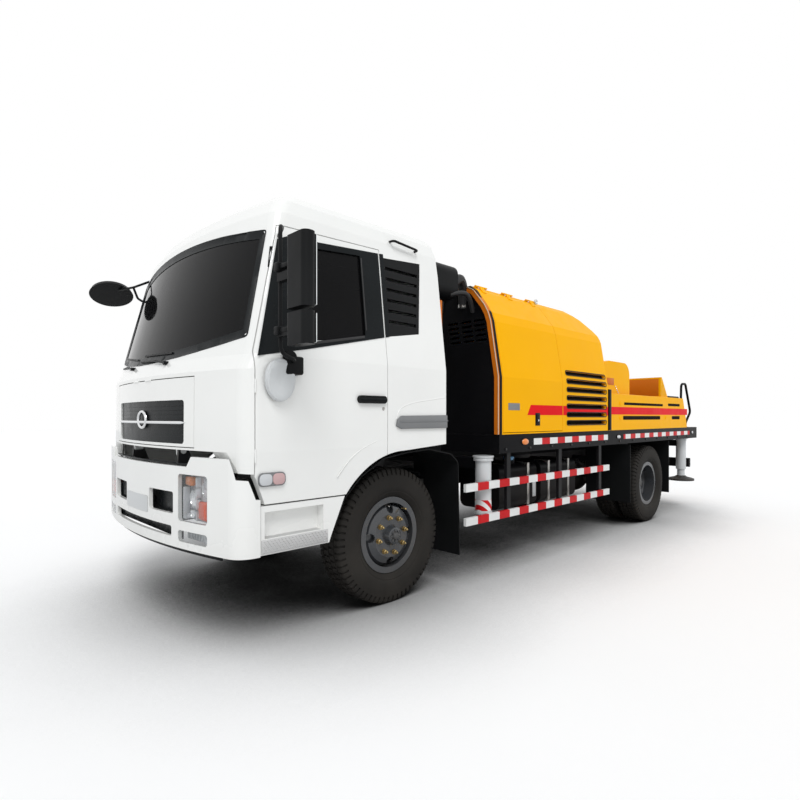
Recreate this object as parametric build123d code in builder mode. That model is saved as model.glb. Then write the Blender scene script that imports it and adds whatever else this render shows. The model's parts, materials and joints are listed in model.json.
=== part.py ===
"""A truck-mounted concrete line pump, in millimetres: two-axle cab-over truck, yellow pump housing, hopper."""

import os
from math import radians, sin, cos, sqrt

from build123d import *

os.makedirs("parts", exist_ok=True)

# Overall lengths. Every place along the truck is measured rearwards from the front axle.
FRONT_OVERHANG = 1500
WHEELBASE = 4700
REAR_OVERHANG = 2200
FRONT_AXLE_Y = FRONT_OVERHANG - (FRONT_OVERHANG + WHEELBASE + REAR_OVERHANG) / 2
CLEAR = 0.3
PANEL_GAP = 6

# Wheels and tyres
TYRE_RADIUS = 515
TYRE_WIDTH = 270
BEAD_RADIUS = 254
RIM_FLANGE_RADIUS = 290
RIM_HALF_WIDTH = 98
RIM_WALL = 9
FRONT_WHEEL_X = 940
REAR_OUTER_X = 1060
REAR_INNER_X = 750
DRUM_RADIUS = 205
DRUM_WIDTH = 120
HUB_RADIUS = 85
HAND_HOLE_RADIUS = 34
HAND_HOLES = 4
FRONT_DISH = 110
REAR_DISH = (REAR_OUTER_X - REAR_INNER_X) / 2
SPINDLE_RADIUS = 32
SPINDLE_END = FRONT_WHEEL_X + 80

# Chassis
RAIL_X = 425
RAIL_TOP = 960
RAIL_HEIGHT = 240
RAIL_FLANGE = 75
RAIL_WALL = 8
RAIL_FRONT = -1400
RAIL_REAR = WHEELBASE + 1740
MEMBER_LOW = 810
KINGPIN_X = 780
KINGPIN_RADIUS = 20
STEER_ARM = 200
SPRING_X_FRONT = 430
SPRING_X_REAR = RAIL_X + 50
SPRING_WIDTH = 76
SPRING_RADIUS = 2500
LEAF = 14

# Cab: wall, floor and tilt pivot
CAB_WALL = 45
CAB_FLOOR = 1235
FLOOR_THICKNESS = 40
PIVOT_Y = -1350
PIVOT_Z = 1190
PIVOT_RADIUS = 18
LUG_X = 445
NOSE_BOW_RADIUS = 4300
DOOR_FRONT = -1232
DOOR_BOTTOM = 898
ARCH_RADIUS = 680
ARCH_Y = -10
ARCH_Z = 490
HATCH_HALF = 740
HATCH_BOTTOM = 1228
HATCH_TOP = 1670
GRILLE_HALF = 630
GRILLE_BOTTOM = 1246
GRILLE_TOP = 1528
GLASS = 6
GLASS_INSET = 10

# Bumper
BUMPER_FRONT = -FRONT_OVERHANG
BUMPER_WALL = 26
BUMPER_BOTTOM = 592
BUMPER_END = -1198

# Pump housing
SIDE_X = 1235
DECK_TOP = 1260
DECK_BOTTOM = 1090
HOOD_FRONT = 1190
HOOD_SPLIT = 2270
HOOD_REAR = 3320
HOOD_ROOF = 2650
HOOD_SKIN = 30
HOOD_HINGE_X = 914
HOOD_HINGE_Z = 2657
HOOD_HINGES = (1300, 1730, 2160)
HINGE_BARREL = 8
HINGE_PIN = 4
HINGE_LENGTH = 60

# Hopper and pump
HOPPER_FRONT = WHEELBASE + 1120
HOPPER_REAR = WHEELBASE + 1980
HOPPER_TOP = 1720
HOPPER_RIM = 48
SPLASH_TOP = 2035
HOPPER_WALL = 12
HOPPER_HALF = 930
HOPPER_SHAFT_Z = 1500
CYLINDER_X = 160
CYLINDER_Z = 1500
OUTLET_Z = 1330
VALVE_BORE = 180
VALVE_WALL = 10

# Jacks
FRONT_JACK_X = 1130
FRONT_JACK_Y = 1050
REAR_JACK_X = 1080
REAR_JACK_Y = WHEELBASE + 1550
JACK_RADIUS = 72
LEG_RADIUS = 55


# Planes, blocks and outlines, all placed from the front axle and the ground
def level(z):
    """A plane at one height: sketches in (x, y), extrudes up."""
    return Plane(origin=(0, FRONT_AXLE_Y, z), x_dir=(1, 0, 0), z_dir=(0, 0, 1))


def across(y):
    """A plane across the truck: sketches in (x, z), extrudes forward."""
    return Plane(origin=(0, FRONT_AXLE_Y + y, 0), x_dir=(1, 0, 0), z_dir=(0, -1, 0))


def along(x):
    """A plane along the truck: sketches in (y, z), extrudes to the left, +X."""
    return Plane(origin=(x, FRONT_AXLE_Y, 0), x_dir=(0, 1, 0), z_dir=(1, 0, 0))


def block(x, y, z, mode=Mode.ADD):
    """A box between three (low, high) pairs."""
    with BuildSketch(level(z[0])) as profile:
        with Locations(((x[0] + x[1]) / 2, (y[0] + y[1]) / 2)):
            Rectangle(x[1] - x[0], y[1] - y[0])
    extrude(profile.sketch, amount=z[1] - z[0], mode=mode)


def outline(plane, points, depth, mode=Mode.ADD):
    """A closed outline of straight lines on a plane, extruded along its normal."""
    with BuildSketch(plane) as profile:
        with BuildLine():
            Polyline(*points, close=True)
        make_face()
    extrude(profile.sketch, amount=depth, mode=mode)


def rod(plane, at, radius, length, bore=0.0, mode=Mode.ADD):
    """A round bar or tube that starts on a plane."""
    with BuildSketch(plane) as profile:
        with Locations(at):
            Circle(radius)
            if bore:
                Circle(bore, mode=Mode.SUBTRACT)
    extrude(profile.sketch, amount=length, mode=mode)


def tube(points, bend, radius):
    """A bent bar through points, with one bend radius."""
    with BuildLine() as route:
        FilletPolyline(*[(x, FRONT_AXLE_Y + y, z) for x, y, z in points], radius=bend)
    with BuildSketch(Plane(origin=route.line @ 0, z_dir=route.line % 0)) as profile:
        Circle(radius)
    sweep(profile.sketch, path=route.line)


def save(piece, name):
    piece.part.label = name
    export_step(piece.part, f"parts/{name}.step")


def hopper_profile(plane, inset):
    """The hopper's cross-section: sloping sides into a rounded floor."""
    half = HOPPER_HALF - inset
    top = HOPPER_TOP - HOPPER_RIM - CLEAR
    with BuildSketch(plane) as section:
        with BuildLine():
            Polyline((-half, top), (-half, 1560), (-600 + inset, 1330))
            ThreePointArc((-600 + inset, 1330), (0, 1130 + inset), (600 - inset, 1330))
            Polyline((600 - inset, 1330), (half, 1560), (half, top), (-half, top))
        make_face()
    return section.sketch


# Chassis frame: two channel rails, cross members, cab pivot brackets and jack beams
with BuildPart() as chassis_frame:
    with BuildSketch(across(RAIL_REAR)):
        with Locations((RAIL_X - RAIL_FLANGE / 2, RAIL_TOP - RAIL_HEIGHT / 2)):
            Rectangle(RAIL_FLANGE, RAIL_HEIGHT)
        with Locations((RAIL_X - RAIL_WALL - RAIL_FLANGE / 2, RAIL_TOP - RAIL_HEIGHT / 2)):
            Rectangle(RAIL_FLANGE, RAIL_HEIGHT - 2 * RAIL_WALL, mode=Mode.SUBTRACT)
    extrude(amount=RAIL_REAR - RAIL_FRONT)
    mirror(about=Plane.YZ)
    for member_y in (-1340, 1180, 2300, 3700, WHEELBASE + 760, RAIL_REAR - 100):
        block(
            (-RAIL_X + RAIL_WALL, RAIL_X - RAIL_WALL),
            (member_y, member_y + 60),
            (MEMBER_LOW, RAIL_TOP - RAIL_WALL),
        )
    for side in (-1, 1):
        with BuildSketch(along(side * LUG_X - 12)):
            with BuildLine():
                Polyline(
                    (PIVOT_Y - 45, RAIL_TOP - 120),
                    (PIVOT_Y + 130, RAIL_TOP - 120),
                    (PIVOT_Y + 130, RAIL_TOP),
                    (PIVOT_Y + 30, PIVOT_Z + 25),
                    (PIVOT_Y - 30, PIVOT_Z + 25),
                    (PIVOT_Y - 45, RAIL_TOP),
                    close=True,
                )
            make_face()
            with Locations((PIVOT_Y, PIVOT_Z)):
                Circle(PIVOT_RADIUS + CLEAR, mode=Mode.SUBTRACT)
        extrude(amount=24)
        block(
            (side * (RAIL_X + 4) - 4, side * (RAIL_X + 4) + 4),
            (PIVOT_Y - 40, PIVOT_Y + 130),
            (RAIL_TOP - 120, RAIL_TOP),
        )
save(chassis_frame, "chassis_frame")


# Leaf springs: concentric leaves over an axle, with eyes at the ends of the longest
def leaf_pack(x, y, bottom, count, half_length, step):
    top = bottom + count * LEAF
    middle = top + SPRING_RADIUS
    for i in range(count):
        reach = (half_length - i * step) / SPRING_RADIUS
        inner = SPRING_RADIUS + i * LEAF
        outer = inner + LEAF
        with BuildSketch(along(x - SPRING_WIDTH / 2)) as profile:
            with BuildLine():
                low = [(y + outer * sin(a), middle - outer * cos(a)) for a in (-reach, 0, reach)]
                high = [(y + inner * sin(a), middle - inner * cos(a)) for a in (reach, 0, -reach)]
                ThreePointArc(*low)
                Line(low[2], high[0])
                ThreePointArc(*high)
                Line(high[2], low[0])
            make_face()
        extrude(profile.sketch, amount=SPRING_WIDTH)
    sweep_angle = half_length / SPRING_RADIUS
    rise = middle - SPRING_RADIUS * cos(sweep_angle)
    return [(y + s * SPRING_RADIUS * sin(sweep_angle), rise) for s in (-1, 1)]


# Front axle: dropped beam, kingpins, springs and their hangers
FRONT_BEAM_TOP = 500
with BuildPart() as front_axle:
    with BuildSketch(across(40)):
        with BuildLine():
            Polyline(
                (-KINGPIN_X + 90, 560),
                (-KINGPIN_X + 90, 470),
                (-560, 410),
                (560, 410),
                (KINGPIN_X - 90, 470),
                (KINGPIN_X - 90, 560),
                (KINGPIN_X - 130, 560),
                (560, FRONT_BEAM_TOP),
                (-560, FRONT_BEAM_TOP),
                (-KINGPIN_X + 130, 560),
                close=True,
            )
        make_face()
    extrude(amount=80)
    for side in (-1, 1):
        rod(level(475), (side * KINGPIN_X, 0), 46, 80)
        block(
            (side * (KINGPIN_X - 65) - 35, side * (KINGPIN_X - 65) + 35),
            (-36, 36),
            (478, 552),
        )
        rod(level(400), (side * KINGPIN_X, 0), KINGPIN_RADIUS, 230)
        ends = leaf_pack(side * SPRING_X_FRONT, 0, FRONT_BEAM_TOP, 6, 700, 95)
        for eye_y, eye_z in ends:
            eye = (eye_y, eye_z + 12)
            rod(along(side * SPRING_X_FRONT - SPRING_WIDTH / 2), eye, 26, SPRING_WIDTH)
            for cheek in (-1, 1):
                with BuildSketch(along(side * SPRING_X_FRONT + cheek * (SPRING_WIDTH / 2 + 6) - 6)) as plate:
                    with BuildLine():
                        Polyline(
                            (eye_y - 30, eye_z - 15),
                            (eye_y + 30, eye_z - 15),
                            (eye_y + 60, RAIL_TOP - RAIL_HEIGHT),
                            (eye_y - 60, RAIL_TOP - RAIL_HEIGHT),
                            close=True,
                        )
                    make_face()
                extrude(plate.sketch, amount=12)
save(front_axle, "front_axle")

# Rear axle: banjo housing, tubes, springs beside the rails and hanger pins
REAR_TUBE_RADIUS = 65
with BuildPart() as rear_axle:
    with BuildSketch(Plane(origin=(0, FRONT_AXLE_Y + WHEELBASE, TYRE_RADIUS), x_dir=(1, 0, 0), z_dir=(0, -1, 0))):
        with BuildLine():
            Polyline(
                (0, 0), (REAR_INNER_X - 20, 0), (REAR_INNER_X - 20, REAR_TUBE_RADIUS),
                (REAR_INNER_X - 150, REAR_TUBE_RADIUS), (260, REAR_TUBE_RADIUS + 10),
            )
            ThreePointArc((260, REAR_TUBE_RADIUS + 10), (180, 165), (0, 200))
            Line((0, 200), (0, 0))
        make_face()
    revolve(axis=Axis((0, FRONT_AXLE_Y + WHEELBASE, TYRE_RADIUS), (1, 0, 0)))
    mirror(about=Plane.YZ)
    for side in (-1, 1):
        x = side * SPRING_X_REAR
        block(
            (x - SPRING_WIDTH / 2, x + SPRING_WIDTH / 2),
            (WHEELBASE - 60, WHEELBASE + 60),
            (TYRE_RADIUS, TYRE_RADIUS + REAR_TUBE_RADIUS + 8),
        )
        ends = leaf_pack(x, WHEELBASE, TYRE_RADIUS + REAR_TUBE_RADIUS + 8, 9, 740, 72)
        for eye_y, eye_z in ends:
            rod(along(x - SPRING_WIDTH / 2), (eye_y, eye_z + 12), 28, SPRING_WIDTH)
            inner = min(side * RAIL_X, x + side * (SPRING_WIDTH / 2 + 12))
            rod(along(inner), (eye_y, eye_z + 12), 16, SPRING_X_REAR + SPRING_WIDTH / 2 + 12 - RAIL_X)
save(rear_axle, "rear_axle")

# Steering knuckles: yoke on the kingpin, spindle and steering arm
with BuildPart() as knuckle_left:
    for low in (405, 558):
        with BuildSketch(level(low)) as plate:
            with Locations((KINGPIN_X + 20, 0)):
                Rectangle(120, 96)
            with Locations((KINGPIN_X, 0)):
                Circle(KINGPIN_RADIUS + CLEAR, mode=Mode.SUBTRACT)
        extrude(plate.sketch, amount=64)
    block((KINGPIN_X + 55, KINGPIN_X + 80), (-48, 48), (405, 622))
    rod(along(KINGPIN_X + 80), (0, TYRE_RADIUS), SPINDLE_RADIUS, SPINDLE_END - KINGPIN_X - 80)
    with BuildSketch(level(440)) as arm:
        with Locations((KINGPIN_X, STEER_ARM / 2 + 20)):
            Rectangle(50, STEER_ARM - 40)
        with Locations((KINGPIN_X, STEER_ARM)):
            Circle(34)
            Circle(12 + CLEAR, mode=Mode.SUBTRACT)
    extrude(arm.sketch, amount=29)
with BuildPart() as knuckle_right:
    mirror(knuckle_left.part, about=Plane.YZ)
save(knuckle_left, "knuckle_left")
save(knuckle_right, "knuckle_right")

# Tie rod between the two steering arms, on upright ball pins
with BuildPart() as tie_rod:
    rod(along(-KINGPIN_X), (STEER_ARM, 420), 17, 2 * KINGPIN_X)
    for side in (-1, 1):
        rod(level(400), (side * KINGPIN_X, STEER_ARM), 20, 39.7)
        rod(level(400), (side * KINGPIN_X, STEER_ARM), 12, 74)
save(tie_rod, "tie_rod")


# Wheels, revolved from profiles of (distance outwards from the rim's middle, radius)
def hub_plane(x, y, side):
    """A plane through a wheel's axis whose first direction points out of the truck."""
    return Plane(origin=(x, FRONT_AXLE_Y + y, TYRE_RADIUS), x_dir=(side, 0, 0), z_dir=(0, -side, 0))


def turned(x, y, side, points):
    """A ring turned about a wheel's axis from a closed outline."""
    with BuildSketch(hub_plane(x, y, side)) as profile:
        with BuildLine():
            Polyline(*points, close=True)
        make_face()
    revolve(profile.sketch, axis=Axis((x, FRONT_AXLE_Y + y, TYRE_RADIUS), (1, 0, 0)))


def rim_and_disc(x, y, side, dish):
    """A rim with flanges, and a dished disc with hand holes."""
    seat = BEAD_RADIUS - RIM_WALL
    turned(x, y, side, [
        (-RIM_HALF_WIDTH, RIM_FLANGE_RADIUS), (-RIM_HALF_WIDTH, seat),
        (RIM_HALF_WIDTH, seat), (RIM_HALF_WIDTH, RIM_FLANGE_RADIUS),
        (RIM_HALF_WIDTH - RIM_WALL, RIM_FLANGE_RADIUS), (RIM_HALF_WIDTH - RIM_WALL, BEAD_RADIUS),
        (-RIM_HALF_WIDTH + RIM_WALL, BEAD_RADIUS), (-RIM_HALF_WIDTH + RIM_WALL, RIM_FLANGE_RADIUS),
    ])
    turned(x, y, side, [
        (dish * 0.25, seat), (dish * 0.8, 215), (dish, 168), (dish, HUB_RADIUS - 5),
        (dish - 14, HUB_RADIUS - 5), (dish - 14, 162), (dish * 0.8 - 14, 210), (dish * 0.25 - 14, seat),
    ])
    with BuildSketch(along(x - side * 20 - 170)) as holes:
        with Locations((y, TYRE_RADIUS)):
            with PolarLocations(200, HAND_HOLES):
                Circle(HAND_HOLE_RADIUS)
    extrude(holes.sketch, amount=340, mode=Mode.SUBTRACT)


def tyre(x, y):
    """A tyre about the point on its axle."""
    half = TYRE_WIDTH / 2
    bead = BEAD_RADIUS + CLEAR
    inside = RIM_HALF_WIDTH - RIM_WALL - CLEAR
    with BuildSketch(hub_plane(x, y, 1)) as profile:
        with BuildLine():
            Polyline((-half, 385), (-half + 6, 320), (-inside, 296), (-inside, bead), (inside, bead), (inside, 296), (half - 6, 320), (half, 385))
            ThreePointArc((half, 385), (half - 8, 450), (half - 22, TYRE_RADIUS - 14))
            Polyline((half - 22, TYRE_RADIUS - 14), (half - 50, TYRE_RADIUS), (50 - half, TYRE_RADIUS), (22 - half, TYRE_RADIUS - 14))
            ThreePointArc((22 - half, TYRE_RADIUS - 14), (8 - half, 450), (-half, 385))
        make_face()
    revolve(profile.sketch, axis=Axis((x, FRONT_AXLE_Y + y, TYRE_RADIUS), (1, 0, 0)))


for side, hand in ((1, "left"), (-1, "right")):
    x = side * FRONT_WHEEL_X
    with BuildPart() as wheel_front:
        rim_and_disc(x, 0, side, FRONT_DISH)
        turned(x, 0, side, [
            (-70, SPINDLE_RADIUS + CLEAR), (-70, DRUM_RADIUS), (DRUM_WIDTH - 70, DRUM_RADIUS), (DRUM_WIDTH - 40, 120),
            (FRONT_DISH - 10, HUB_RADIUS), (FRONT_DISH + 40, 62), (FRONT_DISH + 46, 50), (FRONT_DISH + 46, 0), (90, 0),
            (90, SPINDLE_RADIUS + CLEAR),
        ])
    save(wheel_front, f"wheel_front_{hand}")
    with BuildPart() as tyre_front:
        tyre(x, 0)
    save(tyre_front, f"tyre_front_{hand}")
    with BuildPart() as wheel_rear:
        rim_and_disc(side * REAR_INNER_X, WHEELBASE, side, REAR_DISH)
        rim_and_disc(side * REAR_OUTER_X, WHEELBASE, side, -REAR_DISH)
        turned(side * REAR_INNER_X, WHEELBASE, side, [
            (-100, REAR_TUBE_RADIUS + CLEAR), (-100, DRUM_RADIUS), (DRUM_WIDTH - 80, DRUM_RADIUS), (DRUM_WIDTH - 40, 130),
            (REAR_DISH + 90, 96), (REAR_DISH + 150, 90), (REAR_DISH + 150, 0), (0, 0), (0, REAR_TUBE_RADIUS + CLEAR),
        ])
    save(wheel_rear, f"wheel_rear_{hand}")
    with BuildPart() as tyres_rear:
        tyre(side * REAR_INNER_X, WHEELBASE)
        tyre(side * REAR_OUTER_X, WHEELBASE)
    save(tyres_rear, f"tyres_rear_{hand}")

# Truck engine with gearbox: one plain block on the rails, and the propeller shaft
with BuildPart() as engine:
    inner = RAIL_X - RAIL_FLANGE
    block((-inner, inner), (-560, 560), (640, 1150))
    outline(along(-190), [(560, 640), (1150, 690), (1150, 890), (560, 1050)], 380)
    tube([(0, 1140, 750), (0, 2800, 652), (0, WHEELBASE - 205, 545)], 900, 42)
save(engine, "engine")

# Tanks beside the rails: tool and air tank on the left, fuel tank on the right, with brackets
with BuildPart() as side_tanks:
    for side in (-1, 1):
        for low, high in ((1420, 2080), (2160, 2900)):
            with BuildSketch(across(high)) as section:
                with Locations((side * 800, 735)):
                    RectangleRounded(480, 430, 70)
            extrude(section.sketch, amount=high - low)
            for strap in (low + 120, high - 120):
                block(sorted((side * RAIL_X, side * 570)), (strap - 25, strap + 25), (740, 800))
        rod(level(950), (side * 930, 1760), 45, 50)
save(side_tanks, "side_tanks")

# Side guards: two striped bars a side, on upright stays from the deck rail
GUARD_FRONT = 676
GUARD_REAR = 3353
with BuildPart() as side_guards:
    for low in (508, 791):
        block((SIDE_X - 25, SIDE_X + 3), (GUARD_FRONT, GUARD_REAR), (low, low + 66))
    for stay in (1300, 2230, 3140):
        block((SIDE_X - 55, SIDE_X - 25), (stay, stay + 60), (508, DECK_BOTTOM))
    mirror(about=Plane.YZ)
save(side_guards, "side_guards")


# Bumper: a bowed, wrapped-round shell with lamp and grille openings
def nose_plan(height, half, front, end, corner, inset=0.0):
    """A bowed nose in plan: an arc across the front, round front corners and straight sides."""
    half = half - inset
    front = front + inset
    back = front + NOSE_BOW_RADIUS - sqrt(NOSE_BOW_RADIUS**2 - half**2)
    with BuildSketch(level(height)) as plan:
        with BuildLine():
            ThreePointArc((-half, back), (0, front), (half, back))
            Polyline((half, back), (half, end - inset), (-half, end - inset), (-half, back))
        make_face()
        fillet(plan.vertices().sort_by(Axis.Y)[:2], corner - inset * 0.6)
    return plan.sketch


BUMPER_HALF = 1205
LAMP_OPENINGS = (  # low x, high x, low z, high z
    (628, 930, 765, 1060),
    (628, 930, 636, 706),
)
PLATE_OPENINGS = (  # low x, high x, low z, high z
    (-570, -230, 800, 940),
    (230, 570, 800, 940),
    (-550, 550, 655, 722),
)
with BuildPart() as front_bumper:
    for inset, mode in ((0, Mode.ADD), (BUMPER_WALL, Mode.SUBTRACT)):
        plan = nose_plan(BUMPER_BOTTOM - inset, BUMPER_HALF, BUMPER_FRONT, BUMPER_END + 2 * inset, 130, inset)
        extrude(plan, amount=600 + 2 * inset, mode=mode)
    outline(along(-1300), [
        (-1700, 1172), (-1352, 1172), (-1330, 1052), (-1272, 1046), (-1228, 932), (-1150, 926), (-1150, 1300), (-1700, 1300),
    ], 2600, Mode.SUBTRACT)
    outline(across(-1300), [(-790, 1200), (-722, 1108), (722, 1108), (790, 1200)], 400, Mode.SUBTRACT)
    for low_x, high_x, low_z, high_z in LAMP_OPENINGS:
        with BuildSketch(across(-1300)) as opening:
            for side in (-1, 1):
                with Locations((side * (low_x + high_x) / 2, (low_z + high_z) / 2)):
                    RectangleRounded(high_x - low_x, high_z - low_z, 24)
        extrude(opening.sketch, amount=400, mode=Mode.SUBTRACT)
    for low_x, high_x, low_z, high_z in PLATE_OPENINGS:
        with BuildSketch(across(-1390)) as opening:
            with Locations(((low_x + high_x) / 2, (low_z + high_z) / 2)):
                RectangleRounded(high_x - low_x, high_z - low_z, 16)
        extrude(opening.sketch, amount=400, mode=Mode.SUBTRACT)
    for side in (-1, 1):
        for low, high in ((740, 790), (948, 958)):
            block(sorted((side * 380, side * 425)), (BUMPER_FRONT + BUMPER_WALL + 8, RAIL_FRONT), (low, high))
save(front_bumper, "front_bumper")

# Black inserts in the bumper: slats under the cab's edge, mesh behind the openings, lip below
with BuildPart() as bumper_inserts:
    for low in (1090, 1113):
        band = nose_plan(low, 715, BUMPER_FRONT + BUMPER_WALL + CLEAR, -1370, 5)
        extrude(band, amount=9)
        back = nose_plan(low - 1, 716, BUMPER_FRONT + BUMPER_WALL + 24, -1330, 5)
        extrude(back, amount=12, mode=Mode.SUBTRACT)
    for side in (-1, 0, 1):
        block((side * 600 - 12, side * 600 + 12), (-1468 + abs(side) * 42, -1453 + abs(side) * 42), (1060, 1122))
    block((-620, 620), (-1424, -1412), (640, 945))
    for side in (-1, 1):
        bracket = sorted((side * (380 - CLEAR), side * (425 + CLEAR)))
        block(bracket, (-1425, -1411), (740 - CLEAR, 790 + CLEAR), Mode.SUBTRACT)
save(bumper_inserts, "bumper_inserts")

# Headlamps and fog lamps: lens blocks that follow the bumper's bow behind its openings
with BuildPart() as front_lamps:
    for low_x, high_x, low_z, high_z in LAMP_OPENINGS:
        for side in (-1, 1):
            with BuildSketch(across(-1250)) as lens:
                with Locations((side * (low_x + high_x) / 2, (low_z + high_z) / 2)):
                    RectangleRounded(high_x - low_x - 1, high_z - low_z - 1, 23)
            extrude(lens.sketch, amount=400)
    bowl = nose_plan(BUMPER_BOTTOM, BUMPER_HALF, BUMPER_FRONT, -1100, 130, 6)
    extrude(bowl, amount=600, mode=Mode.INTERSECT)
    core = nose_plan(BUMPER_BOTTOM - 1, BUMPER_HALF, BUMPER_FRONT, -1000, 130, 70)
    extrude(core, amount=602, mode=Mode.SUBTRACT)
save(front_lamps, "front_lamps")

# Step boxes ahead of the front wheels: a recessed panel over a tread, and the wheel arch's lower flare
STEP_FRONT = -1188
STEP_TOP = 888
with BuildPart() as step_boxes:
    outline(along(1000), [
        (STEP_FRONT, 595), (-690, 595), (-672, 640), (-560, STEP_TOP), (STEP_FRONT, STEP_TOP),
    ], 190)
    block((1120, 1200), (STEP_FRONT + 26, -735), (690, 850), Mode.SUBTRACT)
    block((980, 1160), (STEP_FRONT + 26, -735), (590, 655), Mode.SUBTRACT)
    outline(across(-735), [(1119, 851), (1119, 872), (1150, 851)], -735 - STEP_FRONT - 26, Mode.SUBTRACT)
    for bar in (-1100, -800):
        block((RAIL_X, 1000), (bar - 20, bar + 20), (745, 785))
    mirror(about=Plane.YZ)
save(step_boxes, "step_boxes")

# Mudguards: liners over the front wheels, hoops and flaps over the rear ones
GUARD_SKIN = 8
LINER = (  # y, z
    (-616, 700), (-545, 860), (-395, 1000), (-180, 1112), (60, 1145),
    (300, 1160), (560, 1110), (650, 1040), (668, 262),
)
with BuildPart() as mudguards:
    with BuildSketch(along(770)) as liner:
        with BuildLine():
            FilletPolyline(*LINER, radius=60)
            offset(amount=GUARD_SKIN, side=Side.LEFT)
        make_face()
    extrude(liner.sketch, amount=400)
    for bar in (-520, 600):
        block((RAIL_X, 775), (bar - 15, bar + 15), (RAIL_TOP - 60, RAIL_TOP - 30))
    for flap, low in ((WHEELBASE - 700, 330), (WHEELBASE + 640, 330)):
        block((620, 1215), (flap, flap + GUARD_SKIN), (low, DECK_BOTTOM - 20))
        block((RAIL_X, 640), (flap, flap + GUARD_SKIN), (820, 900))
    mirror(about=Plane.YZ)
save(mudguards, "mudguards")

# Deck frame: sub-rails on the chassis, cross beams, edge rails and jack beams
DECK_FRONT = 1150
DECK_REAR = WHEELBASE + 1800
with BuildPart() as deck_frame:
    for side in (-1, 1):
        inner, outer = sorted((side * (RAIL_X - RAIL_FLANGE), side * RAIL_X))
        runs = ((DECK_FRONT - 160, REAR_JACK_Y - 60 - CLEAR), (REAR_JACK_Y + 60 + CLEAR, RAIL_REAR))
        for start, end in runs:
            block((inner, outer), (start, end), (RAIL_TOP, DECK_BOTTOM - CLEAR))
        block(sorted((side * (SIDE_X - 60), side * (SIDE_X - 2))), (DECK_FRONT, DECK_REAR), (DECK_BOTTOM, DECK_TOP))
    reach = SIDE_X - 60 - CLEAR
    for beam in (DECK_FRONT, 2000, 2900, 3800, WHEELBASE, WHEELBASE + 800):
        block((-reach, reach), (beam, beam + 90), (DECK_BOTTOM, DECK_TOP - 10 - CLEAR))
    for saddle in (HOPPER_FRONT + 60, DECK_REAR - 90):
        outline(across(saddle + 50), [
            (-reach, DECK_BOTTOM), (reach, DECK_BOTTOM), (reach, DECK_TOP), (1120, DECK_TOP), (820, DECK_TOP + 90),
            (-820, DECK_TOP + 90), (-1120, DECK_TOP), (-reach, DECK_TOP),
        ], 50)
    extrude(hopper_profile(across(HOPPER_REAR + 20), -2), amount=HOPPER_REAR - HOPPER_FRONT + 40, mode=Mode.SUBTRACT)
    block((-reach, reach), (DECK_FRONT, HOPPER_FRONT - 20), (DECK_TOP - 10, DECK_TOP))
    for jack_x, beam in ((FRONT_JACK_X, FRONT_JACK_Y), (REAR_JACK_X, REAR_JACK_Y)):
        for side in (-1, 1):
            near = RAIL_X + CLEAR if jack_x == FRONT_JACK_X else 0
            block(sorted((side * near, side * jack_x)), (beam - 60, beam + 60), (RAIL_TOP, DECK_BOTTOM - 34))
            rod(level(RAIL_TOP), (side * jack_x, beam), JACK_RADIUS + CLEAR, 200, mode=Mode.SUBTRACT)
save(deck_frame, "deck_frame")

# Pump engine under the housing: one plain block on the deck
with BuildPart() as pump_engine:
    block((-480, 480), (1500, 3000), (DECK_TOP, 2150))
    block((-620, 620), (1330, 1500), (DECK_TOP + 80, 2080))
save(pump_engine, "pump_engine")

# Black front panel of the housing, with the slotted fan guards
with BuildPart() as housing_front:
    outline(across(HOOD_FRONT), [
        (-SIDE_X, DECK_TOP), (SIDE_X, DECK_TOP), (SIDE_X, 1780), (1150, 2290), (1120, 2375), (960, 2600), (900, HOOD_ROOF),
        (-900, HOOD_ROOF), (-960, 2600), (-1120, 2375), (-1150, 2290), (-SIDE_X, 1780),
    ], 34)
    for row in range(5):
        with BuildSketch(across(HOOD_FRONT + 1)) as slots:
            for side in (-1, 1):
                for column in (720, 880, 1030):
                    with Locations((side * (column - row * 8), 2130 + row * 46)):
                        SlotOverall(130, 22)
        extrude(slots.sketch, amount=40, mode=Mode.SUBTRACT)
save(housing_front, "housing_front")

# Housing skin: a cross-section of straight sides, a leaning flank, a shoulder and the roof
FLANK_TOP = (1150, 2290)
SHOULDER = (1120, 2375)
ROOF_EDGE = (950, 2605)


def housing_section(plane, kink, inset=0.0):
    """The housing's cross-section on a plane, kink being the height where the flank starts to lean in."""
    with BuildSketch(plane) as section:
        with BuildLine():
            Polyline(
                (0, DECK_TOP - inset), (SIDE_X - inset, DECK_TOP - inset), (SIDE_X - inset, kink),
                (FLANK_TOP[0] - inset, FLANK_TOP[1]), (SHOULDER[0] - inset, SHOULDER[1] - inset * 0.3),
                (ROOF_EDGE[0] - inset * 0.8, ROOF_EDGE[1] - inset * 0.6), (900 - inset, HOOD_ROOF - inset),
                (0, HOOD_ROOF - inset), close=True,
            )
        make_face()
        mirror(about=Plane.YZ)
    return section.sketch


def rear_slope(inset):
    """What lies above the housing's rounded rear top, in (y, z)."""
    return [
        (HOOD_REAR + 10, 2330 - inset), (HOOD_REAR - inset, 2330 - inset * 0.4), (HOOD_REAR - 60, 2440 - inset),
        (HOOD_REAR - 200, 2560 - inset), (HOOD_REAR - 440, HOOD_ROOF - inset + 1),
        (HOOD_REAR - 440, HOOD_ROOF + 30), (HOOD_REAR + 10, HOOD_ROOF + 30),
    ]


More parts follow.
